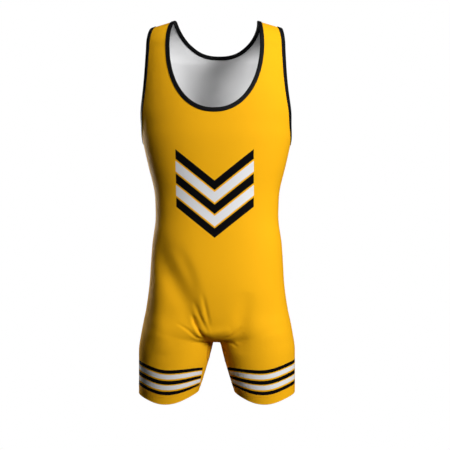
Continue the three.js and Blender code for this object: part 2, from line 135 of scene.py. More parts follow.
MAIN_CREASES = (
    Crease(
        FRONT,
        ((-126, -462), (-112, -520), (-94, -552), (-75, -582), (-59, -612), (-51, -642), (-34, -680)),
        9.0,
        24,
    ),
    Crease(FRONT, ((-46, -636), (-20, -688)), 2.6, 7),
    Crease(FRONT, ((72, -590), (59, -640), (53, -682), (52, -720)), 5.0, 17),
    Crease(BACK, ((-104, -640), (-30, -690)), 3.2, 9),
    Crease(BACK, ((98, -648), (26, -692)), 2.8, 8),
)
FINE_CREASES = (
    Crease(FRONT, ((-86, -490), (-68, -518), (-50, -556), (-36, -600)), 2.6, 13),
    Crease(FRONT, ((-118, -556), (-118, -630), (-112, -720)), -5.0, 22),
    Crease(FRONT, ((-46, -664), (-6, -676), (34, -666)), -3.4, 10),
    Crease(FRONT, ((-48, -634), (-42, -654), (-33, -671), (-21, -687)), 3.8, 2.8, 0.2),
    Crease(FRONT, ((-44, -606), (-35, -630), (-25, -652), (-12, -676)), 2.2, 4.0, 0.2),
    Crease(FRONT, ((-25, -592), (-18, -626), (-10, -662)), 2.0, 4.2, 0.2),
    Crease(FRONT, ((-80, -652), (-56, -668), (-39, -684), (-26, -688), (-8, -690)), 2.0, 2.6, 0.2),
    Crease(FRONT, ((56, -661), (42, -675), (32, -683), (18, -689)), 2.6, 2.6, 0.2),
    Crease(FRONT, ((48, -706), (38, -699), (30, -702)), 1.2, 3.0, 0.3),
    Crease(BACK, ((72, -662), (48, -680), (20, -690)), 2.2, 3.2, 0.4),
    Crease(BACK, ((-62, -668), (-40, -684), (-16, -691)), 2.0, 3.0, 0.4),
    Crease(BACK, ((-92, -452), (-24, -470), (58, -461)), 1.8, 8, 0.3),
    Crease(BACK, ((86, -428), (18, -440), (-44, -434)), 1.3, 7, 0.3),
    Crease(BACK, ((-34, -560), (-12, -612), (-4, -668)), 2.2, 8, 0.2),
)


@dataclass(frozen=True)
class BodyForm:
    """The filled-out form that every piece of cloth lies on. A run is cloth length down from the ridge."""

    strap_top_z: float = -0.6
    strap_top_x: float = 93.5
    strap_slope: float = 0.27
    ridge_flat_x: float = 60.0
    shoulder_base_z: float = -70.0
    armhole_curve_z: float = -97.0
    armhole_bottom_z: float = -262.0
    fork_top_z: float = -540.0
    fork_end_z: float = -686.0
    hip_base_z: float = -630.0
    crotch_z: float = -701.0
    shoulder_run: float = 100.0
    crotch_run: float = 110.0
    leg_run: float = 113.0
    torso_squareness: float = 2.35
    leg_squareness: float = 2.1
    crotch_squareness: float = 4.4
    crotch_lift: float = 1.0
    thigh_blend: float = 9.0
    strap_outer_deg: float = 55.1
    armhole_rounding: float = 0.62
    crotch_arch_radius: float = 11.0
    inseam_spread: float = 30.5
    inseam_power: float = 1.2
    leg_outer_half_width: float = 172.0
    leg_outer_run_in: float = 0.2
    leg_outer_power: float = 1.6
    leg_taper_power: float = 1.5
    hem_inner_z: float = -809.0
    hem_outer_z: float = -815.0
    hem_curve_power: float = 4.5
    gusset_share: float = 0.17
    gusset_body_reach: float = 42.0
    gusset_leg_reach: float = 50.0
    sections: tuple[tuple[float, float, float, float], ...] = (
        (-70, 168, 92, 88),
        (-110, 170, 100, 97),
        (-160, 171.5, 105, 100),
        (-202, 172, 104.4, 97.6),
        (-232, 167.6, 102.8, 94.5),
        (-262, 163.6, 101, 91),
        (-317, 151.5, 94, 82),
        (-370, 138.6, 87, 75),
        (-406, 135.8, 84, 73),
        (-441, 136, 84, 76),
        (-486, 142.4, 87, 87),
        (-530, 145.6, 91, 99),
        (-580, 148.6, 94, 106),
        (-630, 155.5, 93, 105),
        (-665, 163, 90, 101),
        (-701, 169.5, 86, 96),
    )

    @property
    def hip_end(self) -> float:
        """Run at the base of the hips."""
        return self.shoulder_run + self.shoulder_base_z - self.hip_base_z

    @property
    def crotch_end(self) -> float:
        """Run at the lowest point of the crotch."""
        return self.hip_end + self.crotch_run

    @property
    def hem_end(self) -> float:
        """Run at the hem."""
        return self.crotch_end + self.leg_run

    def run_at(self, z: float) -> float:
        """Run of a height on the straight part of the body."""
        return self.shoulder_run + self.shoulder_base_z - z

    def section(self, column: str, z: Grid) -> Grid:
        """Read a smooth curve through one column of the sections.

        Args:
            column: half_width, front or back.
            z: Heights, in mm.

        Returns:
            The column's value at each height.
        """
        rows = np.array(self.sections)
        heights = rows[:, 0]
        values = rows[:, {"half_width": 1, "front": 2, "back": 3}[column]]
        last = len(rows) - 1
        level = np.clip(z, heights[last], heights[0])
        before = np.maximum(np.arange(last + 1) - 1, 0)
        after = np.minimum(np.arange(last + 1) + 1, last)
        slopes = (values[after] - values[before]) / (heights[after] - heights[before])
        i = np.clip(np.searchsorted(-heights, -level - 1e-7), 1, last)
        span = heights[i] - heights[i - 1]
        t = (level - heights[i - 1]) / span
        top = (1 + 2 * t) * (1 - t) ** 2 * values[i - 1] + t * (1 - t) ** 2 * span * slopes[i - 1]
        bottom = t * t * (3 - 2 * t) * values[i] - t * t * (1 - t) * span * slopes[i]
        return top + bottom

    @staticmethod
    def smooth(value: Grid) -> Grid:
        """Smooth step from 0 to 1."""
        t = np.clip(value, 0, 1)
        return t * t * (3 - 2 * t)

    @staticmethod
    def rounded(along: Grid, squareness: float) -> Grid:
        """Side of a superellipse of half size 1."""
        rest = 1 - np.minimum(1, np.abs(along)) ** squareness
        return np.maximum(0, rest) ** (1 / squareness)

    def shoulder(self, face: Face, s: Grid, run: Grid) -> Grid:
        """Points of the shoulders, where each line bends over the ridge as a quarter ellipse."""
        turn = np.radians(90) * (1 - run / self.shoulder_run)
        angle = np.radians(90) * s
        power = 2 / self.torso_squareness
        base = np.full(s.shape, self.shoulder_base_z)
        x = self.section("half_width", base) * np.sin(angle) ** power
        depth = self.section(face.name, base) * np.maximum(0, np.cos(angle)) ** power
        ridge = self.strap_top_z - self.strap_slope * (np.maximum(x, self.ridge_flat_x) - self.strap_top_x)
        z = base + (ridge - base) * np.sin(turn)
        return np.stack([x, face.sign * depth * np.cos(turn), z], -1)

    def torso(self, face: Face, s: Grid, z: Grid) -> Grid:
        """Points of the torso, which parts into two thighs towards the crotch."""
        half_width = self.section("half_width", z)
        fork = self.smooth((self.fork_top_z - z) / (self.fork_top_z - self.fork_end_z))
        torso_x = np.sin(np.radians(90) * s) ** (2 / self.torso_squareness)
        leg_x = (1 - np.cos(np.pi * s)) / 2
        x = half_width * (torso_x * (1 - fork) + leg_x * fork)
        reach = np.maximum(0, self.hip_base_z - z) / (self.hip_base_z - self.crotch_z)
        middle = self.rounded(reach * (1 + self.crotch_lift * (x / half_width) ** 2), self.crotch_squareness)
        body = self.section(face.name, z) * self.rounded(x / half_width, self.torso_squareness) * middle
        thigh = face.leg_top_depth * fork * self.rounded(2 * x / half_width - 1, self.leg_squareness)
        depth = (body**self.thigh_blend + thigh**self.thigh_blend) ** (1 / self.thigh_blend)
        return np.stack([x, face.sign * depth, z], -1)

    def leg_edges(self, below: Grid, side: Grid) -> tuple[Grid, Grid]:
        """Inner and outer sides of a leg at a depth below the crotch."""
        share = below / self.leg_run
        arch = np.clip(below, 0, self.crotch_arch_radius)
        arch_x = np.sqrt(arch * (2 * self.crotch_arch_radius - arch)) * (1 - side) ** 2
        inner = arch_x + self.inseam_spread * np.maximum(share, 0) ** self.inseam_power
        flare = 1 - np.maximum(0, 1 - share / self.leg_outer_run_in) ** self.leg_outer_power
        top = self.sections[-1][1]
        return inner, top + (self.leg_outer_half_width - top) * flare

    def hem_height(self, face: Face, s: Grid) -> Grid:
        """Height of the hem's edge under each place round a leg."""
        across = (1 - np.cos(np.pi * s)) / 2
        side = self.rounded(2 * across - 1, self.leg_squareness)
        level = self.hem_inner_z + (self.hem_outer_z - self.hem_inner_z) * across
        return level + face.hem_shift * side**self.hem_curve_power

    def leg(self, face: Face, s: Grid, below: Grid) -> Grid:
        """Points of a leg, whose rows tilt from level at the crotch to the slant of the hem."""
        share = below / self.leg_run
        across = (1 - np.cos(np.pi * s)) / 2
        side = self.rounded(2 * across - 1, self.leg_squareness)
        inner, outer = self.leg_edges(below, side)
        taper = np.maximum(share, 0) ** self.leg_taper_power
        depth = face.leg_top_depth + (face.leg_hem_depth - face.leg_top_depth) * taper
        z = self.crotch_z + (self.hem_height(face, s) - self.crotch_z) * share
        return np.stack([inner + (outer - inner) * across, face.sign * depth * side, z], -1)

    def base(self, face: Face, hand: Hand, s: Grid, run: Grid) -> Grid:
        """Points of the form with its main creases, the same as the solids.

        Args:
            face: Front or back.
            hand: Side of the centre line.
            s: Share of the way from the centre line or inseam to the side seam.
            run: Cloth length down from the ridge, in mm.

        Returns:
            Points in mm, with one more axis than s.
        """
        s, run = np.broadcast_arrays(np.asarray(s, float), np.asarray(run, float))
        points = np.empty((*s.shape, 3))
        turn = np.radians(90) * np.clip((run - self.hip_end) / self.crotch_run, 0, 1)
        drop = (self.hip_base_z - self.crotch_z) * np.sin(turn) ** (2 / self.crotch_squareness)
        upright = self.shoulder_base_z - (run - self.shoulder_run)
        z = np.where(run <= self.hip_end, upright, self.hip_base_z - drop)
        zones = (
            (run <= self.shoulder_run, lambda m: self.shoulder(face, s[m], run[m])),
            ((run > self.shoulder_run) & (run <= self.crotch_end), lambda m: self.torso(face, s[m], z[m])),
            (run > self.crotch_end, lambda m: self.leg(face, s[m], run[m] - self.crotch_end)),
        )
        for mask, made in zones:
            if mask.any():
                points[mask] = made(mask)
        points[..., 0] *= hand.value
        pressed = sum(c.press(points[..., 0], points[..., 2]) for c in MAIN_CREASES if c.face is face)
        points[..., 1] -= face.sign * np.minimum(pressed, np.abs(points[..., 1]))
        return points

    def normals_of(self, surface: Callable[..., Grid], face: Face, hand: Hand, s: Grid, run: Grid) -> Grid:
        """Outward normals of a surface, from differences along both of its directions.

        Args:
            surface: Function that gives the surface's points.
            face: Front or back.
            hand: Side of the centre line.
            s: Shares across.
            run: Cloth lengths down.

        Returns:
            Unit vectors, one for each place.
        """
        s, run = np.broadcast_arrays(np.asarray(s, float), np.asarray(run, float))
        step_s, step_run = 1e-3, 1.5
        across = surface(face, hand, np.minimum(1, s + step_s), run) - surface(
            face, hand, np.maximum(0, s - step_s), run
        )
        down = surface(face, hand, s, np.minimum(self.hem_end, run + step_run)) - surface(
            face, hand, s, np.maximum(0, run - step_run)
        )
        normal = np.cross(across, down) * hand.value * face.sign
        normal[s >= 1 - 1e-7] = (hand.value, 0, 0)
        normal[(s <= 0) & (run > self.crotch_end)] = (-hand.value, 0, 0)
        normal[..., 0] = np.where((s <= 0) & (run < self.crotch_end), 0, normal[..., 0])
        normal[(s <= 0) & (run == self.crotch_end)] = (0, 0, -1)
        normal[..., 1] = np.where(run <= 0, 0, normal[..., 1])
        return normal / np.maximum(1e-9, np.linalg.norm(normal, axis=-1, keepdims=True))

    def cloth(self, face: Face, hand: Hand, s: Grid, run: Grid) -> Grid:
        """Points on the outside of the cloth, with its fine creases. Takes the arguments of base()."""
        points = self.base(face, hand, s, run)
        normals = self.normals_of(self.base, face, hand, s, run)
        pressed = sum(c.press(points[..., 0], points[..., 2]) for c in FINE_CREASES if c.face is face)
        fade = self.smooth(np.abs(points[..., 1]) / 25)
        return points - normals * (pressed * fade)[..., None]

    def normals(self, face: Face, hand: Hand, s: Grid, run: Grid) -> Grid:
        """Outward normals of the cloth."""
        return self.normals_of(self.cloth, face, hand, s, run)

    def armhole_s(self, face: Face, run: Grid) -> Grid:
        """Armhole edge as a share of the way round the form."""
        rise = np.sin(np.radians(90) * np.clip(1 - run / self.shoulder_run, 0, 1))
        base = 90 - face.armhole_span
        upper = (base + (self.strap_outer_deg - base) * rise * rise) / 90
        z = self.shoulder_base_z - (run - self.shoulder_run)
        depth = self.armhole_curve_z - self.armhole_bottom_z
        drop = np.clip((self.armhole_curve_z - z) / depth, 0, 1)
        lower = 1 - face.armhole_span / 90 * (1 - drop * drop) ** self.armhole_rounding
        return np.where(run <= self.shoulder_run, upper, lower)

    def gusset_s(self, run: Grid) -> Grid:
        """Gusset edge as a share of the way round each half."""
        reach = np.where(run < self.crotch_end, self.gusset_body_reach, self.gusset_leg_reach)
        rest = 1 - (np.abs(run - self.crotch_end) / reach) ** 4
        return np.where(rest > 1e-6, self.gusset_share * np.sqrt(np.maximum(rest, 0)), 0)

    def s_at(self, x: Grid, run: Grid) -> Grid:
        """Share across of a distance from the centre line, on the upper body."""
        z = np.minimum(self.shoulder_base_z, self.shoulder_base_z - (run - self.shoulder_run))
        ratio = np.clip(x / self.section("half_width", z), 0, 1)
        return np.arcsin(ratio ** (self.torso_squareness / 2)) / np.radians(90)

    def spread_along(
        self, face: Face, hand: Hand, run: Grid, start: Grid, end: Grid, lengths: Callable[[Grid], Grid]
    ) -> Grid:
        """Find the shares across that lie at set lengths of cloth along each row.

        Args:
            face: Front or back.
            hand: Side of the centre line.
            run: Run of each row.
            start: Share at which each row starts.
            end: Share at which each row ends.
            lengths: Gives the wanted lengths of all rows from their whole lengths.

        Returns:
            Shares across, one row for each run.
        """
        t = np.linspace(0, 1, 97)
        s = start[:, None] + (end - start)[:, None] * t
        points = self.base(face, hand, s, run[:, None])
        steps = np.linalg.norm(np.diff(points, axis=1), axis=-1)
        length = np.concatenate([np.zeros((len(run), 1)), np.cumsum(steps, axis=1)], axis=1)
        wanted = lengths(length[:, -1])
        found = np.array([np.interp(w, row, shares) for w, row, shares in zip(wanted, length, s)])
        return np.where(found > 1 - 1e-7, 1.0, found)


@dataclass
class MeshParts:
    """Gathers vertices, faces and values for one mesh."""

    verts: list[Grid] = field(default_factory=list)
    faces: list[tuple[int, ...]] = field(default_factory=list)
    slots: list[int] = field(default_factory=list)
    values: dict[str, list[Grid]] = field(default_factory=dict)
    count: int = 0

    def add(self, points: Grid, **values: Grid) -> Grid:
        """Add points.

        Args:
            points: Points in mm, on any number of axes.
            **values: Values of each point by attribute name.

        Returns:
            The indices of the points, in the same layout.
        """
        flat = points.reshape(-1, 3)
        index = np.arange(self.count, self.count + len(flat)).reshape(points.shape[:-1])
        self.verts.append(flat)
        self.count += len(flat)
        for name, value in values.items():
            self.values.setdefault(name, []).append(np.broadcast_to(value, points.shape[:-1]).ravel())
        return index

    def quad(self, a: int, b: int, c: int, d: int, slot: Skin = Skin.OUTSIDE) -> None:
        """Add a four-sided face, or a triangle where two corners are one."""
        corners = tuple(dict.fromkeys((int(a), int(b), int(c), int(d))))
        if len(corners) > 2:
            self.faces.append(corners)
            self.slots.append(slot.value)

    def finish(
        self, name: str, materials: Sequence[bpy.types.Material], sharp_deg: float = 60
    ) -> bpy.types.Object:
        """Make the object, with faces outwards and smooth shading.

        Args:
            name: Name of the piece.
            materials: Materials in the order of the slots.
            sharp_deg: Angle between faces from which an edge is sharp.

        Returns:
            The new object, at the origin.
        """
        mesh = bpy.data.meshes.new(name)
        verts = np.concatenate(self.verts) * MM
        mesh.from_pydata(verts.tolist(), [], self.faces)
        for material in materials:
            mesh.materials.append(material)
        mesh.polygons.foreach_set("material_index", np.array(self.slots, np.int32))
        for key, parts in self.values.items():
            layer = mesh.attributes.new(key, "FLOAT", "POINT")
            layer.data.foreach_set("value", np.concatenate(parts).astype(np.float32))
        if {"cloth_u", "cloth_v"} <= set(self.values):
            u, v = (np.concatenate(self.values[key]) for key in ("cloth_u", "cloth_v"))
            corner = np.empty(len(mesh.loops), np.int32)
            mesh.loops.foreach_get("vertex_index", corner)
            layer = mesh.uv_layers.new(name="cloth")
            layer.data.foreach_set("uv", np.stack([u[corner], v[corner]], -1).astype(np.float32).ravel())
        mesh.validate()
        mesh.update()
        mesh.shade_smooth()
        mesh.set_sharp_from_angle(angle=math.radians(sharp_deg))
        piece = bpy.data.objects.new(name, mesh)
        bpy.context.scene.collection.objects.link(piece)
        return piece


@dataclass
class Dresser:
    """Gives finished pieces their place in the frame and reports them."""

    body: str = "root"

    def settle(self, piece: bpy.types.Object, slot: str, *nodes: str) -> bpy.types.Object:
        """Ride a piece on the body and hide the solids that it stands for.

        Args:
            piece: The finished piece.
            slot: Material slot of the record. Not used.
            *nodes: Solids that it replaces.

        Returns:
            The same piece.
        """
        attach(piece, self.body)
        if nodes:
            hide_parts(*nodes)
        LOG.info("%s: %d faces", piece.name, len(piece.data.polygons))
        return piece


class Shade:
    """A shader socket that takes part in Python expressions."""

    def __init__(self, graph: "Graph", socket: bpy.types.NodeSocket) -> None:
        """Wrap a socket of a graph."""
        self.graph = graph
        self.socket = socket

    def math(self, operation: str, *others: "Shade | float", clamp: bool = False) -> "Shade":
        """Add a Math node on this value.

        Args:
            operation: Operation of the Math node.
            *others: The other operands.
            clamp: Whether the result is kept within 0 and 1.

        Returns:
            The result.
        """
        values = dict(enumerate((self, *others)))
        node = self.graph.node("ShaderNodeMath", {"operation": operation, "use_clamp": clamp}, values)
        return Shade(self.graph, node.outputs[0])

    def reflected(self, operation: str, first: float) -> "Shade":
        """Add a Math node with this value as its second operand."""
        node = self.graph.node("ShaderNodeMath", {"operation": operation}, {0: first, 1: self})
        return Shade(self.graph, node.outputs[0])

    def __add__(self, other: "Shade | float") -> "Shade":
        """Sum."""
        return self.math("ADD", other)

    def __radd__(self, other: float) -> "Shade":
        """Reflected sum."""
        return self.reflected("ADD", other)

    def __sub__(self, other: "Shade | float") -> "Shade":
        """Difference."""
        return self.math("SUBTRACT", other)

    def __rsub__(self, other: float) -> "Shade":
        """Reflected difference."""
        return self.reflected("SUBTRACT", other)

    def __mul__(self, other: "Shade | float") -> "Shade":
        """Product."""
        return self.math("MULTIPLY", other)

    def __rmul__(self, other: float) -> "Shade":
        """Reflected product."""
        return self.reflected("MULTIPLY", other)

    def __truediv__(self, other: "Shade | float") -> "Shade":
        """Quotient."""
        return self.math("DIVIDE", other)

    def clamped(self) -> "Shade":
        """This value kept within 0 and 1."""
        return self.math("ADD", 0.0, clamp=True)

    def sine(self) -> "Shade":
        """Sine of this value, in radians."""
        return self.math("SINE")

    def size(self) -> "Shade":
        """Absolute value."""
        return self.math("ABSOLUTE")

    def band(self, low: float, high: float, soft: float) -> "Shade":
        """Mask that is 1 between two values.

        Args:
            low: Where the band starts.
            high: Where it ends.
            soft: Width over which its edges blend.

        Returns:
            The mask.
        """
        rise = ((self - low) / soft + 0.5).clamped()
        fall = ((high - self) / soft + 0.5).clamped()
        return rise * fall


class Graph:
    """Builds the nodes of one tree."""

    def __init__(self, tree: bpy.types.NodeTree) -> None:
        """Start on an empty tree."""
        self.tree = tree
        tree.nodes.clear()

    def node(
        self, kind: str, settings: dict[str, Any] | None = None, values: dict[int | str, Any] | None = None
    ) -> bpy.types.Node:
        """Add a node.

        Args:
            kind: Type of the node.
            settings: Its properties, which are set first. stops are a ramp's places and colours.
            values: Values or links of its sockets, by name or number.

        Returns:
            The node.
        """
        made = self.tree.nodes.new(kind)
        for name, value in (settings or {}).items():
            if name == "stops":
                ramp = made.color_ramp
                while len(ramp.elements) < len(value):
                    ramp.elements.new(1.0)
                for element, (place, colour) in zip(ramp.elements, value):
                    element.position = place
                    element.color = colour
            else:
                setattr(made, name, value)
        for key, value in (values or {}).items():
            target = made.inputs[key]
            source = value.socket if isinstance(value, Shade) else value
            if isinstance(source, bpy.types.NodeSocket):
                self.tree.links.new(source, target)
            else:
                target.default_value = source
        return made

    def shade(self, kind: str, output: int | str = 0, **parts: dict[Any, Any]) -> Shade:
        """Add a node and wrap one of its outputs."""
        return Shade(self, self.node(kind, **parts).outputs[output])

    def attribute(self, name: str) -> Shade:
        """Value of a mesh attribute."""
        return self.shade("ShaderNodeAttribute", "Fac", settings={"attribute_name": name})

    def noise(self, scale: float, detail: float = 3.0) -> Shade:
        """Noise on Object coordinates, from 0 to 1."""
        place = self.node("ShaderNodeTexCoord").outputs["Object"]
        return self.shade("ShaderNodeTexNoise", values={"Vector": place, "Scale": scale, "Detail": detail})

    def mix(self, factor: Shade, first: Any, second: Any) -> bpy.types.NodeSocket:
        """Mix of two colours."""
        node = self.node("ShaderNodeMix", {"data_type": "RGBA"}, {0: factor, 6: first, 7: second})
        return node.outputs[2]


@dataclass(frozen=True)
class Finish:
    """What all finishes of the garment share."""

    name: str
    roughness: float
    roughness_swing: float
    sheen: float
    sheen_tint: Colour
    specular: float

    def start(self) -> tuple[bpy.types.Material, Graph]:
        """New material and the graph of its nodes."""
        material = bpy.data.materials.new(self.name)
        material.use_nodes = True
        return material, Graph(material.node_tree)

    def close(self, graph: Graph, colour: Any, height: Shade, relief: float, wear: Shade) -> None:
        """Join colour, roughness and relief in the surface shader.

        Args:
            graph: Graph of the material.
            colour: Link or value of the colour.
            height: Height of the relief, from 0 to 1.
            relief: Depth of the relief in metres.
            wear: Value from 0 to 1 that varies the roughness.
        """
        bump = graph.node("ShaderNodeBump", None, {"Strength": 1.0, "Distance": relief, "Height": height})
        rough = wear * self.roughness_swing + (self.roughness - self.roughness_swing / 2)
        surface = graph.node(
            "ShaderNodeBsdfPrincipled",
            None,
            {
                "Base Color": colour,
                "Roughness": rough,
                "Normal": bump.outputs[0],
                "Sheen Weight": self.sheen,
                "Sheen Roughness": 0.45,
                "Sheen Tint": self.sheen_tint,
                "Specular IOR Level": self.specular,
            },
        )
        graph.node("ShaderNodeOutputMaterial", None, {"Surface": surface.outputs[0]})

    @staticmethod
    def knit(graph: Graph, wale: float, course: float) -> Shade:
        """Loops of a knit on the cloth's own lengths.

        Args:
            graph: Graph of the material.
            wale: Distance between the columns of loops, in metres.
            course: Distance between the rows of loops, in metres.

        Returns:
            Height from 0 to 1.
        """
        u = graph.attribute("cloth_u")
        v = graph.attribute("cloth_v")
        leg = (u * (math.pi / wale)).sine().size()
        lean = (u * (2 * math.pi / wale)).sine() * 0.8
        loop = (v * (2 * math.pi / course) + lean).sine() * 0.5 + 0.5
        return leg * (loop * 0.5 + 0.5)


@dataclass(frozen=True)
class GoldKnit(Finish):
    """Gold stretch knit with its printed leg stripes and, on the front, printed chest chevrons."""

    gold: Colour = (0.93, 0.46, 0.009, 1)
    # Darker gold, for random tone and for painted shade in the knit's hollows.
    deep_gold: Colour = (0.86, 0.41, 0.007, 1)
    black: Colour = (0.003, 0.003, 0.004, 1)
    white: Colour = (0.78, 0.78, 0.8, 1)
    black_bands: tuple[tuple[float, float], ...] = ((65.8, 73.4), (42.4, 50.6), (20.0, 27.6))
    white_bands: tuple[tuple[float, float], ...] = ((54.0, 63.3), (31.0, 40.3))
    band_softness: float = 0.5
    chevrons: bool = False
    chevron_reach: float = 0.082
    chevron_slope: float = 0.8
    chevron_base: float = -0.475
    chevron_black: tuple[tuple[float, float], ...] = ((0.0, 0.02), (0.05, 0.07), (0.1, 0.12))
    chevron_white: tuple[tuple[float, float], ...] = ((0.024, 0.046), (0.074, 0.096))

    @staticmethod
    def all_bands(measure: Shade, bands: Sequence[tuple[float, float]], soft: float) -> Shade:
        """Mask of several bands along one measure."""
        first = measure.band(*bands[0], soft)
        return sum((measure.band(low, high, soft) for low, high in bands[1:]), first)

    def leg_bands(self, graph: Graph, bands: Sequence[tuple[float, float]]) -> Shade:
        """Mask of bands at set heights above the hem, cut off beside the inseam."""
        height = graph.attribute("hem_height")
        reach = graph.attribute("band_reach")
        total = self.all_bands(height, bands, self.band_softness)
        inside = (reach / self.band_softness + 0.5).clamped()
        return total * inside

    def chest_bands(self, graph: Graph, bands: Sequence[tuple[float, float]]) -> Shade:
        """Mask of chevrons on the chest, on Object coordinates."""
        place = graph.node("ShaderNodeTexCoord").outputs["Object"]
        split = graph.node("ShaderNodeSeparateXYZ", None, {0: place})
        x = Shade(graph, split.outputs[0]).size()
        rise = Shade(graph, split.outputs[2]) - x * self.chevron_slope - self.chevron_base
        soft = self.band_softness * MM
        total = self.all_bands(rise, bands, soft)
        return total * x.band(-1.0, self.chevron_reach, soft)

    def build(self) -> bpy.types.Material:
        """Make the material."""
        material, graph = self.start()
        cloudy = graph.noise(9.0)
        loops = self.knit(graph, 0.9 * MM, 1.1 * MM)
        # Random cloudy tone plus painted shade: deep gold mixed into the low hollows between the knit's
        # loops.
        tone_and_loop_shade = (cloudy * 0.5 + (1 - loops) * 0.25).clamped()
        colour = graph.mix(tone_and_loop_shade, self.gold, self.deep_gold)
        black = self.leg_bands(graph, self.black_bands)
        white = self.leg_bands(graph, self.white_bands)
        if self.chevrons:
            black = (black + self.chest_bands(graph, self.chevron_black)).clamped()
            white = (white + self.chest_bands(graph, self.chevron_white)).clamped()
        colour = graph.mix(white, colour, self.white)
        colour = graph.mix(black, colour, self.black)
        self.close(graph, colour, loops, 0.12 * MM, graph.noise(40.0))
        return material


@dataclass(frozen=True)
class PlainKnit(Finish):
    """Knit of one colour: the white reverse of the cloth, or the black of the bindings."""

    light: Colour
    # Darker colour, for random tone and for painted shade in the knit's hollows.
    dark: Colour
    wale: float
    course: float
    relief: float

    def build(self) -> bpy.types.Material:
        """Make the material."""
        material, graph = self.start()
        loops = self.knit(graph, self.wale, self.course)
        # Random tone plus painted shade: the dark colour mixed into the low hollows between the knit's loops.
        tone_and_loop_shade = (graph.noise(14.0) * 0.6 + (1 - loops) * 0.4).clamped()
        self.close(graph, graph.mix(tone_and_loop_shade, self.light, self.dark), loops, self.relief, graph.noise(50.0))
        return material


@dataclass(frozen=True)
class SewingThread(Finish):
    """Twisted sewing thread."""

    light: Colour
    dark: Colour

    def build(self) -> bpy.types.Material:
        """Make the material."""
        material, graph = self.start()
        place = graph.node("ShaderNodeTexCoord").outputs["Object"]
        twist = graph.shade(
            "ShaderNodeTexWave",
            "Fac",
            settings={"bands_direction": "DIAGONAL"},
            values={"Vector": place, "Scale": 900.0},
        )
        self.close(graph, graph.mix(twist, self.light, self.dark), twist, 0.05 * MM, graph.noise(60.0))
        return material


@dataclass
class Wardrobe:
    """The materials of the garment."""

    front: bpy.types.Material = field(init=False)
    back: bpy.types.Material = field(init=False)
    reverse: bpy.types.Material = field(init=False)
    binding: bpy.types.Material = field(init=False)
    gold_thread: bpy.types.Material = field(init=False)
    black_thread: bpy.types.Material = field(init=False)

    def __post_init__(self) -> None:
        """Build every finish once."""
        warm, pale, cool = (1.0, 0.62, 0.12, 1), (1, 1, 1, 1), (0.6, 0.62, 0.7, 1)
        knit = {
            "roughness": 0.62,
            "roughness_swing": 0.08,
            "sheen": 0.0,
            "sheen_tint": warm,
            "specular": 0.02,
        }
        self.front = GoldKnit("gold_knit_front", **knit, chevrons=True).build()
        self.back = GoldKnit("gold_knit_back", **knit).build()
        self.reverse = PlainKnit(
            "white_reverse",
            roughness=0.75,
            roughness_swing=0.08,
            sheen=0.2,
            sheen_tint=pale,
            specular=0.3,
            light=(0.8, 0.8, 0.8, 1),
            dark=(0.66, 0.66, 0.67, 1),
            wale=0.9 * MM,
            course=1.1 * MM,
            relief=0.15 * MM,
        ).build()
        self.binding = PlainKnit(
            "black_binding_knit",
            roughness=0.6,
            roughness_swing=0.1,
            sheen=0.0,
            sheen_tint=cool,
            specular=0.1,
            light=(0.004, 0.004, 0.005, 1),
            dark=(0.002, 0.002, 0.0025, 1),
            wale=1.1 * MM,
            course=1.3 * MM,
            relief=0.2 * MM,
        ).build()
        self.gold_thread = SewingThread(
            "gold_thread",
            roughness=0.6,
            roughness_swing=0.1,
            sheen=0.0,
            sheen_tint=warm,
            specular=0.1,
            light=(0.9, 0.4, 0.012, 1),
            dark=(0.62, 0.25, 0.006, 1),
        ).build()
        self.black_thread = SewingThread(
            "black_thread",
            roughness=0.5,
            roughness_swing=0.1,
            sheen=0.1,
            sheen_tint=cool,
            specular=0.4,
            light=(0.02, 0.02, 0.024, 1),
            dark=(0.006, 0.006, 0.008, 1),
        ).build()


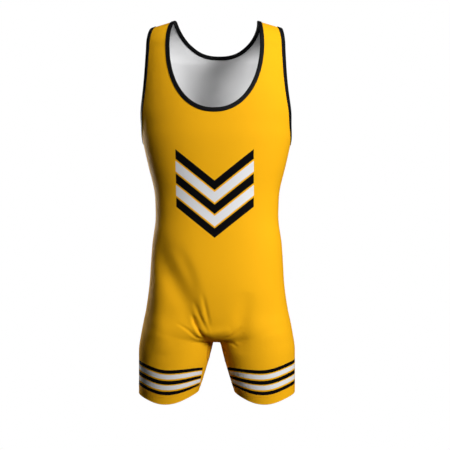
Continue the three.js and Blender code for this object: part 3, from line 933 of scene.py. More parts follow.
@dataclass
class ClothPiece:
    """A piece of cloth on the form: the shares and runs of its places, and its closed wall."""

    form: BodyForm
    wall: float = 1.2
    seam_trim: float = 0.15
    inner_narrowing: float = 0.33
    band_margins: tuple[float, float] = (9.2, 0.0)
    band_slants: tuple[float, float] = (0.076, 0.14)
    columns: int = 56

    def values(self, face: Face, hand: Hand, s: Grid, run: Grid) -> dict[str, Grid]:
        """Work out what the finishes read at each place.

        Args:
            face: Front or back.
            hand: Side of the centre line.
            s: Shares across.
            run: Cloth lengths down, of the shape of s.

        Returns:
            Heights above the hem and distances from the ends of the bands in mm, and cloth lengths in metres.
        """
        form = self.form
        points = form.base(face, hand, s, run)
        below = run > form.crotch_end
        across = (1 - np.cos(np.pi * s)) / 2
        narrowing = 1 - self.inner_narrowing * np.clip(1 - 2 * across, 0, 1) ** 2
        height = np.where(below, (points[..., 2] - form.hem_height(face, s)) / narrowing, 400.0)
        inner, _ = form.leg_edges(np.maximum(0, run - form.crotch_end), np.ones(s.shape))
        side = 0 if hand is Hand.LEFT else 1
        reach = np.abs(points[..., 0]) - inner - self.band_margins[side] - self.band_slants[side] * height
        steps = np.linalg.norm(np.diff(points, axis=1), axis=-1)
        along = np.concatenate([np.zeros((len(s), 1)), np.cumsum(steps, axis=1)], axis=1)
        first = np.abs(points[:, :1, 0])
        return {
            "hem_height": height,
            "band_reach": reach,
            "cloth_u": hand.value * (first + along) * MM,
            "cloth_v": -run * MM,
        }

    def skins(self, parts: MeshParts, face: Face, hand: Hand, s: Grid, run: Grid) -> tuple[Grid, Grid]:
        """Add the outer and inner skins of a grid of places and return their indices."""
        points = self.form.cloth(face, hand, s, run)
        inner = points - self.form.normals(face, hand, s, run) * self.wall
        values = self.values(face, hand, s, run)
        return parts.add(points, **values), parts.add(inner, **values)

    @staticmethod
    def lay(
        parts: MeshParts, out: Grid, back: Grid, flip: bool, open_start: Grid, open_end: bool, ends: bool
    ) -> None:
        """Add the faces of a wall.

        Args:
            parts: The mesh that is gathered.
            out: Indices of the outer skin.
            back: Indices of the inner skin.
            flip: Whether the faces are turned round.
            open_start: For each row, whether its first column is an edge of the cloth.
            open_end: Whether the last column is an edge of the cloth.
            ends: Whether the first and last rows are edges of the cloth.
        """

        def face(a: int, b: int, c: int, d: int, slot: Skin) -> None:
            parts.quad(*((d, c, b, a) if flip else (a, b, c, d)), slot)

        rows, columns = out.shape
        for k in range(rows - 1):
            for j in range(columns - 1):
                face(out[k, j], out[k + 1, j], out[k + 1, j + 1], out[k, j + 1], Skin.OUTSIDE)
                face(back[k, j], back[k, j + 1], back[k + 1, j + 1], back[k + 1, j], Skin.REVERSE)
            if open_start[k] or open_start[k + 1]:
                face(out[k, 0], back[k, 0], back[k + 1, 0], out[k + 1, 0], Skin.OUTSIDE)
            if open_end:
                face(out[k, -1], out[k + 1, -1], back[k + 1, -1], back[k, -1], Skin.OUTSIDE)
        if ends:
            for j in range(columns - 1):
                face(out[0, j], out[0, j + 1], back[0, j + 1], back[0, j], Skin.OUTSIDE)
                face(out[-1, j], back[-1, j], back[-1, j + 1], out[-1, j + 1], Skin.OUTSIDE)

    def lower_runs(self) -> Grid:
        """Runs of the rows from the crotch's turn to the hem, close together where an edge curves."""
        form = self.form
        q = np.linspace(0, 1, 22)
        tip = (1 - q) ** 2
        fall = np.linspace(0.03, 0.86, 30)
        turn = np.arcsin(fall ** (form.crotch_squareness / 2))
        radius = form.crotch_arch_radius
        runs = np.concatenate(
            [
                form.hip_end + form.crotch_run * turn / (math.pi / 2),
                form.crotch_end - form.gusset_body_reach * (1 - tip),
                form.crotch_end + radius * (1 - np.cos(np.linspace(0.15, math.pi / 2, 12))),
                form.crotch_end + radius + (form.gusset_leg_reach - radius) * (1 - tip),
                np.linspace(form.crotch_end + form.gusset_leg_reach, form.hem_end, 20),
            ]
        )
        runs = np.unique(np.round(runs, 3))
        keep = [runs[0]]
        for run in runs[1:]:
            if run - keep[-1] > 0.12 or run == form.crotch_end:
                keep.append(run)
        keep[-1] = form.hem_end
        return np.array(keep)


@dataclass
class Panel(ClothPiece):
    """Front or back panel, from the shoulder seams to the hems of both legs."""

    face: Face = FRONT
    neck_half_width: float = 96.5
    neck_top_half_width: float = 89.5
    neck_curve_z: float = -60.0
    neck_bottom_z: float = -205.7
    neck_squareness: float = 2.2
    back_neck_squareness: float = 2.4
    back_neck_start_deg: float = 12.0
    row_step: float = 4.0

    def neck_rows(self) -> tuple[Grid, Grid]:
        """Runs and centre distances of the neck edge, from the shoulder down to the centre line."""
        form = self.form
        if self.face is FRONT:
            turn = np.linspace(90, 0, 25)
            widening = (self.neck_half_width - self.neck_top_half_width) * np.cos(np.radians(turn)) ** 2
            angle = np.radians(np.linspace(85, 0, 52))
            drop = np.cos(angle) ** (2 / self.neck_squareness)
            z = self.neck_curve_z + (self.neck_bottom_z - self.neck_curve_z) * drop
            run = np.concatenate([form.shoulder_run * (1 - turn / 90), form.run_at(z)])
            scoop = self.neck_half_width * np.sin(angle) ** (2 / self.neck_squareness)
            x = np.concatenate([self.neck_top_half_width + widening, scoop])
        else:
            angle = np.radians(np.linspace(90, 0, 64))
            drop = np.maximum(0, np.cos(angle)) ** (2 / self.back_neck_squareness)
            turn = 90 - (90 - self.back_neck_start_deg) * drop
            run = form.shoulder_run * (1 - turn / 90)
            x = self.neck_top_half_width * np.sin(angle) ** (2 / self.back_neck_squareness)
        keep = np.concatenate([[True], np.diff(run) > 1e-6])
        return run[keep], np.where(x[keep] < 1e-6, 0, x[keep])

    def rows(self) -> tuple[Grid, Grid, Grid]:
        """Runs of all rows, the shares at which they start, and whether they start at an edge."""
        form = self.form
        run, x = self.neck_rows()
        start = form.s_at(x, run)
        run[0] = self.seam_trim
        depth = form.armhole_curve_z - form.armhole_bottom_z
        top_run = max(run[-1], form.run_at(self.neck_bottom_z))
        between = np.arange(run[-1] + self.row_step / 2, top_run, self.row_step)
        top_z = form.shoulder_base_z - (top_run - form.shoulder_run)
        turn = np.linspace(math.asin((form.armhole_curve_z - top_z) / depth), math.pi / 2, 40)[1:]
        under = form.run_at(form.armhole_curve_z - depth * np.sin(turn))
        body = np.arange(under[-1] + self.row_step, form.hip_end + 1, self.row_step)
        lower = self.lower_runs()
        rest = np.concatenate([between, under, body[body < lower[0] - 1], lower])
        rest_start = np.where(rest > form.hip_end, form.gusset_s(rest), 0)
        is_open = np.concatenate([x > 0, (rest_start > 0) | (rest > form.crotch_end)])
        return np.concatenate([run, rest]), np.concatenate([start, rest_start]), is_open

    def build(self, name: str, materials: Sequence[bpy.types.Material]) -> bpy.types.Object:
        """Make the panel.

        Args:
            name: Name of the piece.
            materials: Outside and reverse of the cloth.

        Returns:
            The panel as one closed wall of cloth.
        """
        run, start, is_open = self.rows()
        end = self.form.armhole_s(self.face, run)
        end = np.where(run >= self.form.run_at(self.form.armhole_bottom_z), 1.0, end)
        trimmed_start = np.where(is_open & (run > self.form.hip_end), self.seam_trim, 0)
        trimmed_end = np.where(end >= 1, self.seam_trim, 0)
        even = np.linspace(0, 1, self.columns + 1)
        graded = even * 0.55 + (1 - np.cos(np.pi * even)) / 2 * 0.45

        def lengths(whole: Grid) -> Grid:
            first = trimmed_start[:, None]
            return first + (whole - trimmed_start - trimmed_end)[:, None] * graded

        parts = MeshParts()
        centre = {}
        for hand in (Hand.RIGHT, Hand.LEFT):
            s = self.form.spread_along(self.face, hand, run, start, end, lengths)
            grid_run = np.broadcast_to(run[:, None], s.shape)
            out, back = self.skins(parts, self.face, hand, s, grid_run)
            if hand is Hand.RIGHT:
                centre = {"out": out[:, 0].copy(), "back": back[:, 0].copy()}
            else:
                out[:, 0] = np.where(is_open, out[:, 0], centre["out"])
                back[:, 0] = np.where(is_open, back[:, 0], centre["back"])
            flip = hand.value * self.face.sign > 0
            self.lay(parts, out, back, flip, is_open, open_end=True, ends=True)
        return parts.finish(name, materials)


@dataclass
class Gusset(ClothPiece):
    """Lens-shaped piece under the crotch, from the front panel to the back panel."""

    columns: int = 12

    def build(self, name: str, materials: Sequence[bpy.types.Material]) -> bpy.types.Object:
        """Make the gusset as one closed wall of cloth. Takes the arguments of Panel.build()."""
        form = self.form
        run = self.lower_runs()
        run = run[form.gusset_s(run) > 0.01]
        end = form.gusset_s(run)
        share = np.linspace(0, 1, self.columns + 1)

        def lengths(whole: Grid) -> Grid:
            return (whole - self.seam_trim)[:, None] * share

        parts = MeshParts()
        for face in (FRONT, BACK):
            for hand in (Hand.RIGHT, Hand.LEFT):
                s = form.spread_along(face, hand, run, np.zeros(len(run)), end, lengths)
                out, back = self.skins(parts, face, hand, s, np.broadcast_to(run[:, None], s.shape))
                flip = hand.value * face.sign > 0
                self.lay(parts, out, back, flip, np.zeros(len(run), bool), open_end=True, ends=True)
        piece = parts.finish(name, materials)
        self.join(piece.data)
        return piece

    @staticmethod
    def join(mesh: bpy.types.Mesh) -> None:
        """Merge the four quarters along the centre line and the inseams."""
        made = bmesh.new()
        made.from_mesh(mesh)
        bmesh.ops.remove_doubles(made, verts=made.verts, dist=0.005 * MM)
        made.to_mesh(mesh)
        made.free()


@dataclass
class HemTurn:
    """The cloth turned up inside one leg, with the roll at its fold."""

    form: BodyForm
    depth: float = 20.0
    steps: int = 60
    profile: tuple[tuple[float, float], ...] = (
        (-1.32, 20.0),
        (-2.1, 20.0),
        (-2.2, 14.0),
        (-2.2, 7.0),
        (-2.2, 2.0),
        (-2.0, 0.3),
        (-1.5, -0.5),
        (-0.7, -0.75),
        (0.0, -0.5),
        (0.3, 0.2),
        (0.22, 1.1),
        (-0.1, 1.6),
        (-0.6, 0.9),
        (-1.25, 1.4),
        (-1.32, 7.0),
        (-1.32, 14.0),
    )

    def build(self, name: str, hand: Hand, material: bpy.types.Material) -> bpy.types.Object:
        """Make the hem turn of one leg.

        Args:
            name: Name of the piece.
            hand: Side of the leg.
            material: Outside of the cloth, which faces the leg here.

        Returns:
            A closed ring.
        """
        form = self.form
        parts = MeshParts()
        even = np.linspace(0, 1, self.steps + 1)
        rings = []
        for face, shares in ((FRONT, even[:-1]), (BACK, even[::-1][:-1])):
            column = []
            for offset, height in self.profile:
                rise = np.maximum(height, 0)
                run = np.full(shares.shape, form.hem_end - rise)
                point = form.cloth(face, hand, shares, run)
                normal = form.normals(face, hand, shares, run)
                point = point + normal * offset
                point[..., 2] += min(height, 0.0)
                column.append(point)
            rings.append(np.stack(column, 1))
        ring = np.concatenate(rings)
        away = np.linspace(0, 0.5, len(ring))[:, None]
        down = np.array(self.profile)[:, 1] * MM
        index = parts.add(ring, hem_height=2.0, band_reach=-10.0, cloth_u=away, cloth_v=down)
        count, corners = index.shape
        for k in range(count):
            after = (k + 1) % count
            for j in range(corners):
                other = (j + 1) % corners
                quad = (index[k, j], index[after, j], index[after, other], index[k, other])
                parts.quad(*(quad if hand is Hand.RIGHT else quad[::-1]))
        return parts.finish(name, [material])


@dataclass(frozen=True)
class Spot:
    """A place on the cloth."""

    face: Face
    hand: Hand
    s: float
    run: float


@dataclass
class Edge:
    """A line of places on the cloth, with the direction that lies in the cloth beside it."""

    form: BodyForm
    spots: Sequence[Spot]
    closed: bool

    def __post_init__(self) -> None:
        """Work out points, normals and inward directions."""
        self.s = np.array([spot.s for spot in self.spots])
        self.run = np.array([spot.run for spot in self.spots])
        self.points = self.on_form(self.form.cloth, self.s, self.run)
        self.normals = self.on_form(self.form.normals, self.s, self.run)
        if self.closed:
            tangent = np.roll(self.points, -1, 0) - np.roll(self.points, 1, 0)
        else:
            tangent = np.gradient(self.points, axis=0)
        tangent /= np.linalg.norm(tangent, axis=1, keepdims=True)
        self.inward = np.cross(tangent, self.normals)
        self.inward /= np.linalg.norm(self.inward, axis=1, keepdims=True)

    def on_form(self, surface: Callable[..., Grid], s: Grid, run: Grid) -> Grid:
        """Read a surface of the form for all spots, each on its own face and side.

        Args:
            surface: Function of the form.
            s: Shares across, one for each spot.
            run: Runs, one for each spot.

        Returns:
            Vectors, one for each spot.
        """
        found = np.empty((len(self.spots), 3))
        for face in (FRONT, BACK):
            for hand in Hand:
                mask = np.array([spot.face is face and spot.hand is hand for spot in self.spots])
                if mask.any():
                    found[mask] = surface(face, hand, s[mask], run[mask])
        return found

    def beside(self, distance: float) -> tuple[Grid, Grid]:
        """Find the places at a distance beside the edge.

        Args:
            distance: Distance along the cloth in mm, inwards where it is positive.

        Returns:
            Points and normals.
        """
        step_s, step_run = 1e-3, 1.5
        turn = np.where(self.s > 0.5, -step_s, step_s)
        along_s = (self.on_form(self.form.cloth, self.s + turn, self.run) - self.points) / turn[:, None]
        along_run = (self.on_form(self.form.cloth, self.s, self.run + step_run) - self.points) / step_run
        step = self.inward * distance

        def dot(a: Grid, b: Grid) -> Grid:
            return np.sum(a * b, axis=1)

        ss, sr, rr = dot(along_s, along_s), dot(along_s, along_run), dot(along_run, along_run)
        det = ss * rr - sr * sr
        s = self.s + (dot(step, along_s) * rr - dot(step, along_run) * sr) / det
        run = self.run + (dot(step, along_run) * ss - dot(step, along_s) * sr) / det
        s, run = np.clip(s, 0, 1), np.maximum(0, run)
        return self.on_form(self.form.cloth, s, run), self.on_form(self.form.normals, s, run)

    def track(self, distance: float, lift: float) -> Grid:
        """Points of a line of sewing beside the edge.

        Args:
            distance: Distance from the edge in mm.
            lift: Height above the cloth in mm.

        Returns:
            Points in mm.
        """
        points, normals = self.beside(distance)
        return points + normals * lift


@dataclass
class Binding:
    """Folded strip round a raw edge, with a soft U section."""

    width: float = 8.0
    profile: tuple[tuple[float, float], ...] = (
        (1.0, 0.2),
        (1.0, 0.75),
        (0.93, 1.1),
        (0.7, 1.2),
        (0.4, 1.28),
        (0.12, 1.25),
        (0.0, 1.1),
        (-0.1, 0.6),
        (-0.14, -0.1),
        (-0.14, -1.0),
        (-0.1, -1.8),
        (0.0, -2.3),
        (0.12, -2.45),
        (0.4, -2.48),
        (0.7, -2.4),
        (0.93, -2.3),
        (1.0, -1.95),
        (1.0, -1.4),
        (0.5, -1.35),
        (0.0, -1.3),
        (-0.06, -0.6),
        (0.0, 0.1),
        (0.5, 0.15),
    )

    def build(self, name: str, edge: Edge, material: bpy.types.Material) -> bpy.types.Object:
        """Make the strip.

        Args:
            name: Name of the piece.
            edge: Closed raw edge that it folds over.
            material: Knit of the binding.

        Returns:
            The strip as one closed ring.
        """
        leg, leg_normal = edge.beside(self.width)
        columns = []
        for share, lift in self.profile:
            inside = min(max(share, 0.0), 1.0)
            base = edge.points * (1 - inside) + leg * inside
            normal = edge.normals * (1 - inside) + leg_normal * inside
            columns.append(base + normal * lift + edge.inward * self.width * min(share, 0.0))
        ring = np.stack(columns, 1)
        steps = np.linalg.norm(np.diff(edge.points, axis=0), axis=1)
        along = np.concatenate([[0], np.cumsum(steps)])[:, None] * MM
        across = np.arange(len(self.profile)) * 0.9 * MM
        parts = MeshParts()
        index = parts.add(ring, cloth_u=along, cloth_v=np.broadcast_to(across, ring.shape[:2]))
        count, corners = index.shape
        for k in range(count):
            after = (k + 1) % count
            for j in range(corners):
                other = (j + 1) % corners
                parts.quad(index[k, j], index[after, j], index[after, other], index[k, other])
        return parts.finish(name, [material])


class NodeTool:
    """Geometry Nodes trees that lay sewing along a line."""

    @staticmethod
    def start(
        name: str, sizes: dict[str, float]
    ) -> tuple[bpy.types.NodeTree, Graph, bpy.types.Node, dict[str, str]]:
        """Make a tree with named inputs.

        Args:
            name: Name of the tree.
            sizes: Its number inputs and their usual values.

        Returns:
            The tree, its graph, its input node, and the identifier of each input.
        """
        tree = bpy.data.node_groups.new(name, "GeometryNodeTree")
        tree.interface.new_socket("Line", in_out="INPUT", socket_type="NodeSocketGeometry")
        tree.interface.new_socket("Thread", in_out="OUTPUT", socket_type="NodeSocketGeometry")
        names = {}
        for key, value in sizes.items():
            socket = tree.interface.new_socket(key, in_out="INPUT", socket_type="NodeSocketFloat")
            socket.default_value = value
            names[key] = socket.identifier
        finish = tree.interface.new_socket("Finish", in_out="INPUT", socket_type="NodeSocketMaterial")
        names["Finish"] = finish.identifier
        graph = Graph(tree)
        return tree, graph, graph.node("NodeGroupInput"), names

    @staticmethod
    def close(graph: Graph, given: bpy.types.Node, made: bpy.types.NodeSocket) -> None:
        """End a tree in Realize Instances and Set Material."""
        real = graph.node("GeometryNodeRealizeInstances", None, {0: made})
        smooth = graph.node("GeometryNodeSetShadeSmooth", None, {0: real.outputs[0]})
        look = {"Geometry": smooth.outputs[0], "Material": given.outputs["Finish"]}
        dressed = graph.node("GeometryNodeSetMaterial", None, look)
        graph.node("NodeGroupOutput", None, {0: dressed.outputs[0]})

    @classmethod
    def stitches(cls) -> tuple[bpy.types.NodeTree, dict[str, str]]:
        """Tree that lays one short stitch after another along a line."""
        sizes = {"Pitch": 0.003, "Stitch": 0.0022, "Radius": 0.0003}
        tree, graph, given, names = cls.start("stitch_row", sizes)
        along = {"Curve": given.outputs[0], "Length": given.outputs["Pitch"]}
        spots = graph.node("GeometryNodeCurveToPoints", {"mode": "LENGTH"}, along)
        bead = graph.node("GeometryNodeMeshUVSphere", None, {"Segments": 6, "Rings": 4, "Radius": 1.0})
        half = graph.node("ShaderNodeMath", {"operation": "MULTIPLY"}, {0: given.outputs["Stitch"], 1: 0.5})
        vary = graph.node("FunctionNodeRandomValue", {"data_type": "FLOAT"}, {2: 0.9, 3: 1.08, "Seed": 7})
        factors = {0: half.outputs[0], 1: vary.outputs[1]}
        length = graph.node("ShaderNodeMath", {"operation": "MULTIPLY"}, factors)
        size = graph.node(
            "ShaderNodeCombineXYZ",
            None,
            {0: given.outputs["Radius"], 1: given.outputs["Radius"], 2: length.outputs[0]},
        )
        laid = graph.node(
            "GeometryNodeInstanceOnPoints",
            None,
            {
                "Points": spots.outputs["Points"],
                "Instance": bead.outputs["Mesh"],
                "Rotation": spots.outputs["Rotation"],
                "Scale": size.outputs[0],
            },
        )
        cls.close(graph, given, laid.outputs[0])
        return tree, names

    @classmethod
    def cover(cls) -> tuple[bpy.types.NodeTree, dict[str, str]]:
        """Tree that sweeps one thin thread along a line."""
        tree, graph, given, names = cls.start("cover_thread", {"Radius": 0.0002})
        thread = {"Resolution": 5, "Radius": given.outputs["Radius"]}
        ring = graph.node("GeometryNodeCurvePrimitiveCircle", {"mode": "RADIUS"}, thread)
        swept = graph.node(
            "GeometryNodeCurveToMesh",
            None,
            {"Curve": given.outputs[0], "Profile Curve": ring.outputs[0], "Fill Caps": True},
        )
        cls.close(graph, given, swept.outputs[0])
        return tree, names


@dataclass
class Sewing:
    """Threads along the seams, bindings and hems."""

    form: BodyForm
    wardrobe: Wardrobe
    dresser: Dresser
    pitch: float = 3.0
    stitch: float = 2.3
    radius: float = 0.28
    seam_half_width: float = 2.6
    zigzag_step: float = 1.7
    binding_margin: float = 1.6
    cover_lift: float = 0.22
    hem_lift: float = 0.18
    hem_rows: tuple[float, float] = (18.0, 13.5)

    def __post_init__(self) -> None:
        """Make both trees once."""
        self.stitch_tree = NodeTool.stitches()
        self.cover_tree = NodeTool.cover()

    def lay(
        self,
        name: str,
        lines: Sequence[tuple[Grid, bool]],
        tool: tuple[bpy.types.NodeTree, dict[str, str]],
        sizes: dict[str, float],
        finish: bpy.types.Material,
        slot: str,
    ) -> bpy.types.Object:
        """Lay thread along lines with one of the trees.

        Args:
            name: Name of the piece.
            lines: Points in mm of each line, and whether it is closed.
            tool: A tree and the identifiers of its inputs.
            sizes: Values of its number inputs, in mm.
            finish: Material of the thread.
            slot: Material slot of the record.

        Returns:
            The threads as one plain mesh.
        """
        curve = bpy.data.curves.new(name + "_line", "CURVE")
        curve.dimensions = "3D"
        for points, closed in lines:
            spline = curve.splines.new("POLY")
            spline.points.add(len(points) - 1)
            spline.points.foreach_set("co", np.column_stack([points * MM, np.ones(len(points))]).ravel())
            spline.use_cyclic_u = closed
        holder = bpy.data.objects.new(name + "_line", curve)
        bpy.context.scene.collection.objects.link(holder)
        tree, names = tool
        modifier = holder.modifiers.new("thread", "NODES")
        modifier.node_group = tree
        for key, value in sizes.items():
            modifier[names[key]] = value * MM
        modifier[names["Finish"]] = finish
        bpy.context.view_layer.update()
        evaluated = holder.evaluated_get(bpy.context.evaluated_depsgraph_get())
        mesh = bpy.data.meshes.new_from_object(evaluated)
        mesh.name = name
        holder.modifiers.remove(modifier)
        bpy.data.objects.remove(holder)
        piece = bpy.data.objects.new(name, mesh)
        bpy.context.scene.collection.objects.link(piece)
        return self.dresser.settle(piece, slot)

    def rows(self, name: str, lines: Sequence[tuple[Grid, bool]], black: bool = False) -> bpy.types.Object:
        """Lay rows of stitches along lines."""
        sizes = {"Pitch": self.pitch, "Stitch": self.stitch, "Radius": self.radius}
        finish = self.wardrobe.black_thread if black else self.wardrobe.gold_thread
        slot = "black_binding" if black else "gold_knit"
        return self.lay(name, lines, self.stitch_tree, sizes, finish, slot)

    def zigzag(self, name: str, pairs: Sequence[tuple[Grid, Grid]]) -> bpy.types.Object:
        """Lay a cover thread that crosses a seam from side to side.

        Args:
            name: Name of the piece.
            pairs: For each seam, the lines on both of its sides.

        Returns:
            The threads as one mesh.
        """
        lines = []
        for left, right in pairs:
            left, right = self.even(left), self.even(right)
            count = min(len(left), len(right))
            turns = np.arange(count) % 2
            lines.append((np.where(turns[:, None] == 0, left[:count], right[:count]), False))
        return self.lay(name, lines, self.cover_tree, {"Radius": 0.2}, self.wardrobe.gold_thread, "gold_knit")

    def even(self, line: Grid) -> Grid:
        """Points at even steps along a line."""
        steps = np.linalg.norm(np.diff(line, axis=0), axis=1)
        along = np.concatenate([[0], np.cumsum(steps)])
        wanted = np.linspace(0, along[-1], int(round(along[-1] / self.zigzag_step)))
        return np.stack([np.interp(wanted, along, line[:, k]) for k in range(3)], -1)

    def beside_rows(
        self, face: Face, hand: Hand, run: Grid, at_end: bool, distance: float, lift: float
    ) -> Grid:
        """Line on the cloth at a distance from the first or last column of its rows.

        Args:
            face: Front or back.
            hand: Side of the centre line.
            run: Runs that the line passes.
            at_end: Whether it lies beside the side seam, rather than the gusset or inseam.
            distance: Distance in mm.
            lift: Height above the cloth in mm.

        Returns:
            Points in mm.
        """
        form = self.form
        start = form.gusset_s(run) if not at_end else np.full(run.shape, 0.5)
        end = np.ones(run.shape) if at_end else np.full(run.shape, 0.5)
        side = abs(distance)
        if not at_end and distance < 0:
            start, end = np.zeros(run.shape), start
            at_end = True

        def lengths(whole: Grid) -> Grid:
            return (np.maximum(0, whole - side) if at_end else np.full(whole.shape, side))[:, None]

        s = form.spread_along(face, hand, run, start, end, lengths)
        points = form.cloth(face, hand, s[:, 0], run)
        return points + form.normals(face, hand, s[:, 0], run) * lift

    def both_sides(self, hand: Hand, run: Grid, at_end: bool) -> list[Grid]:
        """Lines on the front and on the back beside the seam that joins them."""
        width, lift = self.seam_half_width, self.cover_lift
        return [self.beside_rows(face, hand, run, at_end, width, lift) for face in (FRONT, BACK)]

    def side_seams(self) -> None:
        """Flat seams down both sides."""
        form = self.form
        run = np.linspace(form.run_at(form.armhole_bottom_z) + 9, form.hem_end - 1, 190)
        pairs, needles = [], []
        for hand in Hand:
            sides = self.both_sides(hand, run, True)
            pairs.append((sides[0], sides[1]))
            needles += [(line, False) for line in sides]
        self.zigzag("side_seam_cover", pairs)
        self.rows("side_seam_stitches", needles)

    def gusset_seams(self) -> None:
        """Flat seams round the gusset and down the inseams."""
        form = self.form
        run = np.unique(
            np.concatenate(
                [
                    np.linspace(form.crotch_end - form.gusset_body_reach + 2, form.crotch_end, 24),
                    np.linspace(form.crotch_end + 0.5, form.crotch_end + form.gusset_leg_reach - 2, 24),
                ]
            )
        )
        pairs, needles = [], []
        for face in (FRONT, BACK):
            for hand in Hand:
                outside = self.beside_rows(face, hand, run, False, self.seam_half_width, self.cover_lift)
                inside = self.beside_rows(face, hand, run, False, -self.seam_half_width, self.cover_lift)
                pairs.append((outside, inside))
                needles += [(outside, False), (inside, False)]
        leg = np.linspace(form.crotch_end + form.gusset_leg_reach + 1, form.hem_end - 1, 30)
        for hand in Hand:
            sides = self.both_sides(hand, leg, False)
            pairs.append((sides[0], sides[1]))
            needles += [(line, False) for line in sides]
        self.zigzag("gusset_seam_cover", pairs)
        self.rows("gusset_seam_stitches", needles)

    def shoulder_seams(self) -> None:
        """Flat seams over both shoulders."""
        form = self.form
        pairs, needles = [], []
        outer = float(form.armhole_s(FRONT, np.array(0.0)))
        inner = float(form.s_at(np.array(89.5), np.array(0.0)))
        s = np.linspace(inner + 0.07, outer - 0.06, 40)
        for hand in Hand:
            lines = []
            for face in (FRONT, BACK):
                run = np.full(s.shape, self.seam_half_width)
                points = form.cloth(face, hand, s, run) + form.normals(face, hand, s, run) * self.cover_lift
                lines.append(points)
                needles.append((points, False))
            pairs.append((lines[0], lines[1]))
        self.zigzag("shoulder_seam_cover", pairs)
        self.rows("shoulder_seam_stitches", needles)

    def hems(self) -> None:
        """Two rows of stitches round each hem."""
        form = self.form
        lines = []
        even = np.linspace(0, 1, 90)
        for hand in Hand:
            for height in self.hem_rows:
                ring = []
                for face, shares in ((FRONT, even[:-1]), (BACK, even[::-1][:-1])):
                    run = np.full(shares.shape, form.hem_end - height)
                    raised = form.normals(face, hand, shares, run) * self.hem_lift
                    ring.append(form.cloth(face, hand, shares, run) + raised)
                lines.append((np.concatenate(ring), True))
        self.rows("hem_stitches", lines)

    def bindings(self, edges: Sequence[tuple[Edge, float]]) -> None:
        """One row of stitches along each binding, from its edge and its width."""
        lines = [(edge.track(width - self.binding_margin, 1.25), True) for edge, width in edges]
        self.rows("binding_stitches", lines, black=True)


@dataclass
class Singlet:
    """The whole garment."""

    form: BodyForm = field(default_factory=BodyForm)
    dresser: Dresser = field(default_factory=Dresser)
    wardrobe: Wardrobe = field(default_factory=Wardrobe)
    front_flat: tuple[float, float] = (0.52, 0.88)
    front_area: float = 0.29
    back_flat: tuple[float, float] = (0.53, 0.88)
    back_area: float = 0.31
    gusset_flat: tuple[float, float] = (0.06, 0.2)
    gusset_area: float = 0.0095
    neck_binding_width: float = 8.0
    armhole_binding_width: float = 9.8

    def neck_edge(self, front: Panel, back: Panel) -> Edge:
        """Closed neck edge, from the centre front over both shoulders and back again."""
        halves = {}
        for panel in (front, back):
            run, x = panel.neck_rows()
            shares = self.form.s_at(x, run)
            halves[panel.face.name] = list(zip(shares.tolist(), run.tolist()))

        def spots(panel: Panel, hand: Hand, part: slice) -> list[Spot]:
            return [Spot(panel.face, hand, s, run) for s, run in halves[panel.face.name][part]]

        loop = [
            *reversed(spots(front, Hand.RIGHT, slice(None))),
            *spots(back, Hand.RIGHT, slice(1, None)),
            *reversed(spots(back, Hand.LEFT, slice(1, -1))),
            *spots(front, Hand.LEFT, slice(0, -1)),
        ]
        return Edge(self.form, loop, closed=True)

    def armhole_edge(self, hand: Hand) -> Edge:
        """Closed armhole edge of one side."""
        form = self.form
        depth = form.armhole_curve_z - form.armhole_bottom_z
        turn = np.linspace(0, math.pi / 2, 60)
        upper = np.linspace(0, form.run_at(form.armhole_curve_z), 42)
        runs = np.concatenate([upper[:-1], form.run_at(form.armhole_curve_z - depth * np.sin(turn))])

        def spots(face: Face) -> list[Spot]:
            shares = form.armhole_s(face, runs)
            return [Spot(face, hand, float(s), float(run)) for s, run in zip(shares, runs)]

        loop = [*reversed(spots(FRONT)), *spots(BACK)[1:-1]]
        return Edge(form, loop[::-1] if hand is Hand.RIGHT else loop, closed=True)

    def build(self) -> None:
        """Make every piece of the garment."""
        wear, dress = self.wardrobe, self.dresser
        front = Panel(self.form, face=FRONT, columns=74)
        back = Panel(self.form, face=BACK)
        front_piece = front.build("front_panel_cloth", [wear.front, wear.reverse])
        front_piece = dress.settle(front_piece, "gold_knit", "front_panel")
        back_piece = back.build("back_panel_cloth", [wear.back, wear.reverse])
        back_piece = dress.settle(back_piece, "gold_knit", "back_panel")
        gusset = Gusset(self.form).build("crotch_gusset_cloth", [wear.back, wear.reverse])
        dress.settle(gusset, "gold_knit", "crotch_gusset")
        edges = {
            "neck_binding": (self.neck_edge(front, back), self.neck_binding_width),
            "armhole_binding_left": (self.armhole_edge(Hand.LEFT), self.armhole_binding_width),
            "armhole_binding_right": (self.armhole_edge(Hand.RIGHT), self.armhole_binding_width),
        }
        for node, (edge, width) in edges.items():
            strip = Binding(width).build(node + "_strip", edge, wear.binding)
            dress.settle(strip, "black_binding", node)
        for hand in Hand:
            turn = HemTurn(self.form).build(f"hem_turn_{hand.name.lower()}", hand, wear.back)
            dress.settle(turn, "gold_knit")
        sewing = Sewing(self.form, wear, dress)
        sewing.side_seams()
        sewing.gusset_seams()
        sewing.shoulder_seams()
        sewing.hems()
        sewing.bindings(list(edges.values()))


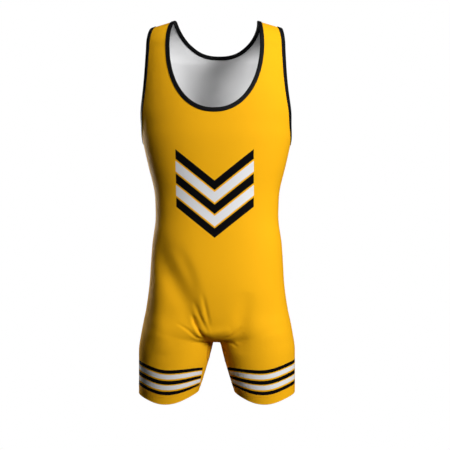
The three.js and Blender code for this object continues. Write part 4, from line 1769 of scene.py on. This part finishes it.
@dataclass
class Studio:
    """Floor, light and camera."""

    camera_distance: float = 1.5
    camera_side: float = 0.094
    camera_shift: float = -0.0767
    camera_height: float = -0.448
    focal_pixels: float = 675.7
    frame_pixels: float = 450.0
    sensor: float = 36.0
    floor_z: float = -0.95
    lit_strength: float = 0.02

    def camera(self) -> None:
        """Set the camera at the photograph's angle."""
        data = bpy.data.cameras.new("camera")
        data.sensor_width = self.sensor
        data.lens = self.focal_pixels / self.frame_pixels * self.sensor
        eye = bpy.data.objects.new("camera", data)
        data.shift_x = self.camera_shift
        eye.location = (self.camera_side, -self.camera_distance, self.camera_height)
        eye.rotation_euler = (math.radians(90), 0, 0)
        bpy.context.scene.collection.objects.link(eye)
        bpy.context.scene.camera = eye

    def lamp(
        self, name: str, place: Sequence[float], aim: Sequence[float], size: float, power: float
    ) -> None:
        """Hang a soft square lamp.

        Args:
            name: Name of the lamp.
            place: Where it hangs, in metres.
            aim: What it points at.
            size: Its side in metres.
            power: Its power in watts.
        """
        data = bpy.data.lights.new(name, "AREA")
        data.size = size
        data.energy = power
        lamp = bpy.data.objects.new(name, data)
        lamp.location = place
        lamp.rotation_euler = (Vector(aim) - Vector(place)).to_track_quat("-Z", "Y").to_euler()
        bpy.context.scene.collection.objects.link(lamp)

    def white(self, graph: Graph, shown: float, lit: float) -> bpy.types.NodeSocket:
        """Brightness that is white to the eye and softer as a light."""
        path = graph.node("ShaderNodeLightPath")
        seen = Shade(graph, path.outputs["Is Camera Ray"])
        return (seen * (shown - lit) + lit).socket

    def surroundings(self) -> None:
        """Pale floor and surroundings."""
        world = bpy.data.worlds.new("surroundings")
        world.use_nodes = True
        graph = Graph(world.node_tree)
        pale = {"Color": (1, 1, 1, 1), "Strength": self.white(graph, 1.0, self.lit_strength)}
        sky = graph.node("ShaderNodeBackground", None, pale)
        graph.node("ShaderNodeOutputWorld", None, {"Surface": sky.outputs[0]})
        bpy.context.scene.world = world
        parts = MeshParts()
        reach = 6000.0
        corners = np.array([(-reach, -reach, 0), (reach, -reach, 0), (reach, reach, 0), (-reach, reach, 0)])
        index = parts.add(corners + np.array((0, 0, self.floor_z / MM)))
        parts.quad(*index)
        material = bpy.data.materials.new("pale_floor")
        material.use_nodes = True
        graph = Graph(material.node_tree)
        pale = {"Color": (1, 1, 1, 1), "Strength": self.white(graph, 1.0, self.lit_strength)}
        glow = graph.node("ShaderNodeEmission", None, pale)
        graph.node("ShaderNodeOutputMaterial", None, {"Surface": glow.outputs[0]})
        floor = parts.finish("floor", [material])

    def build(self) -> None:
        """Set floor, light and camera."""
        bpy.context.scene.view_settings.view_transform = "Standard"
        self.surroundings()
        middle = (0.0, 0.0, -0.42)
        self.lamp("key_light", (1.66, -1.74, 0.6), middle, 0.9, 84)
        self.lamp("shoulder_fill", (-0.3, -0.6, 0.62), (0.0, 0.0, -0.1), 0.5, 1.9)
        self.lamp("rim_light", (-1.45, 1.65, -0.25), middle, 0.5, 34)
        self.camera()
        LOG.info("studio: floor, three lamps and camera")


def main() -> None:
    """Load the frame, dress it and light it."""
    logging.basicConfig(level=logging.INFO, format="%(name)s %(message)s")
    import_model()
    Singlet().build()
    Studio().build()


if __name__ == "__main__":
    main()
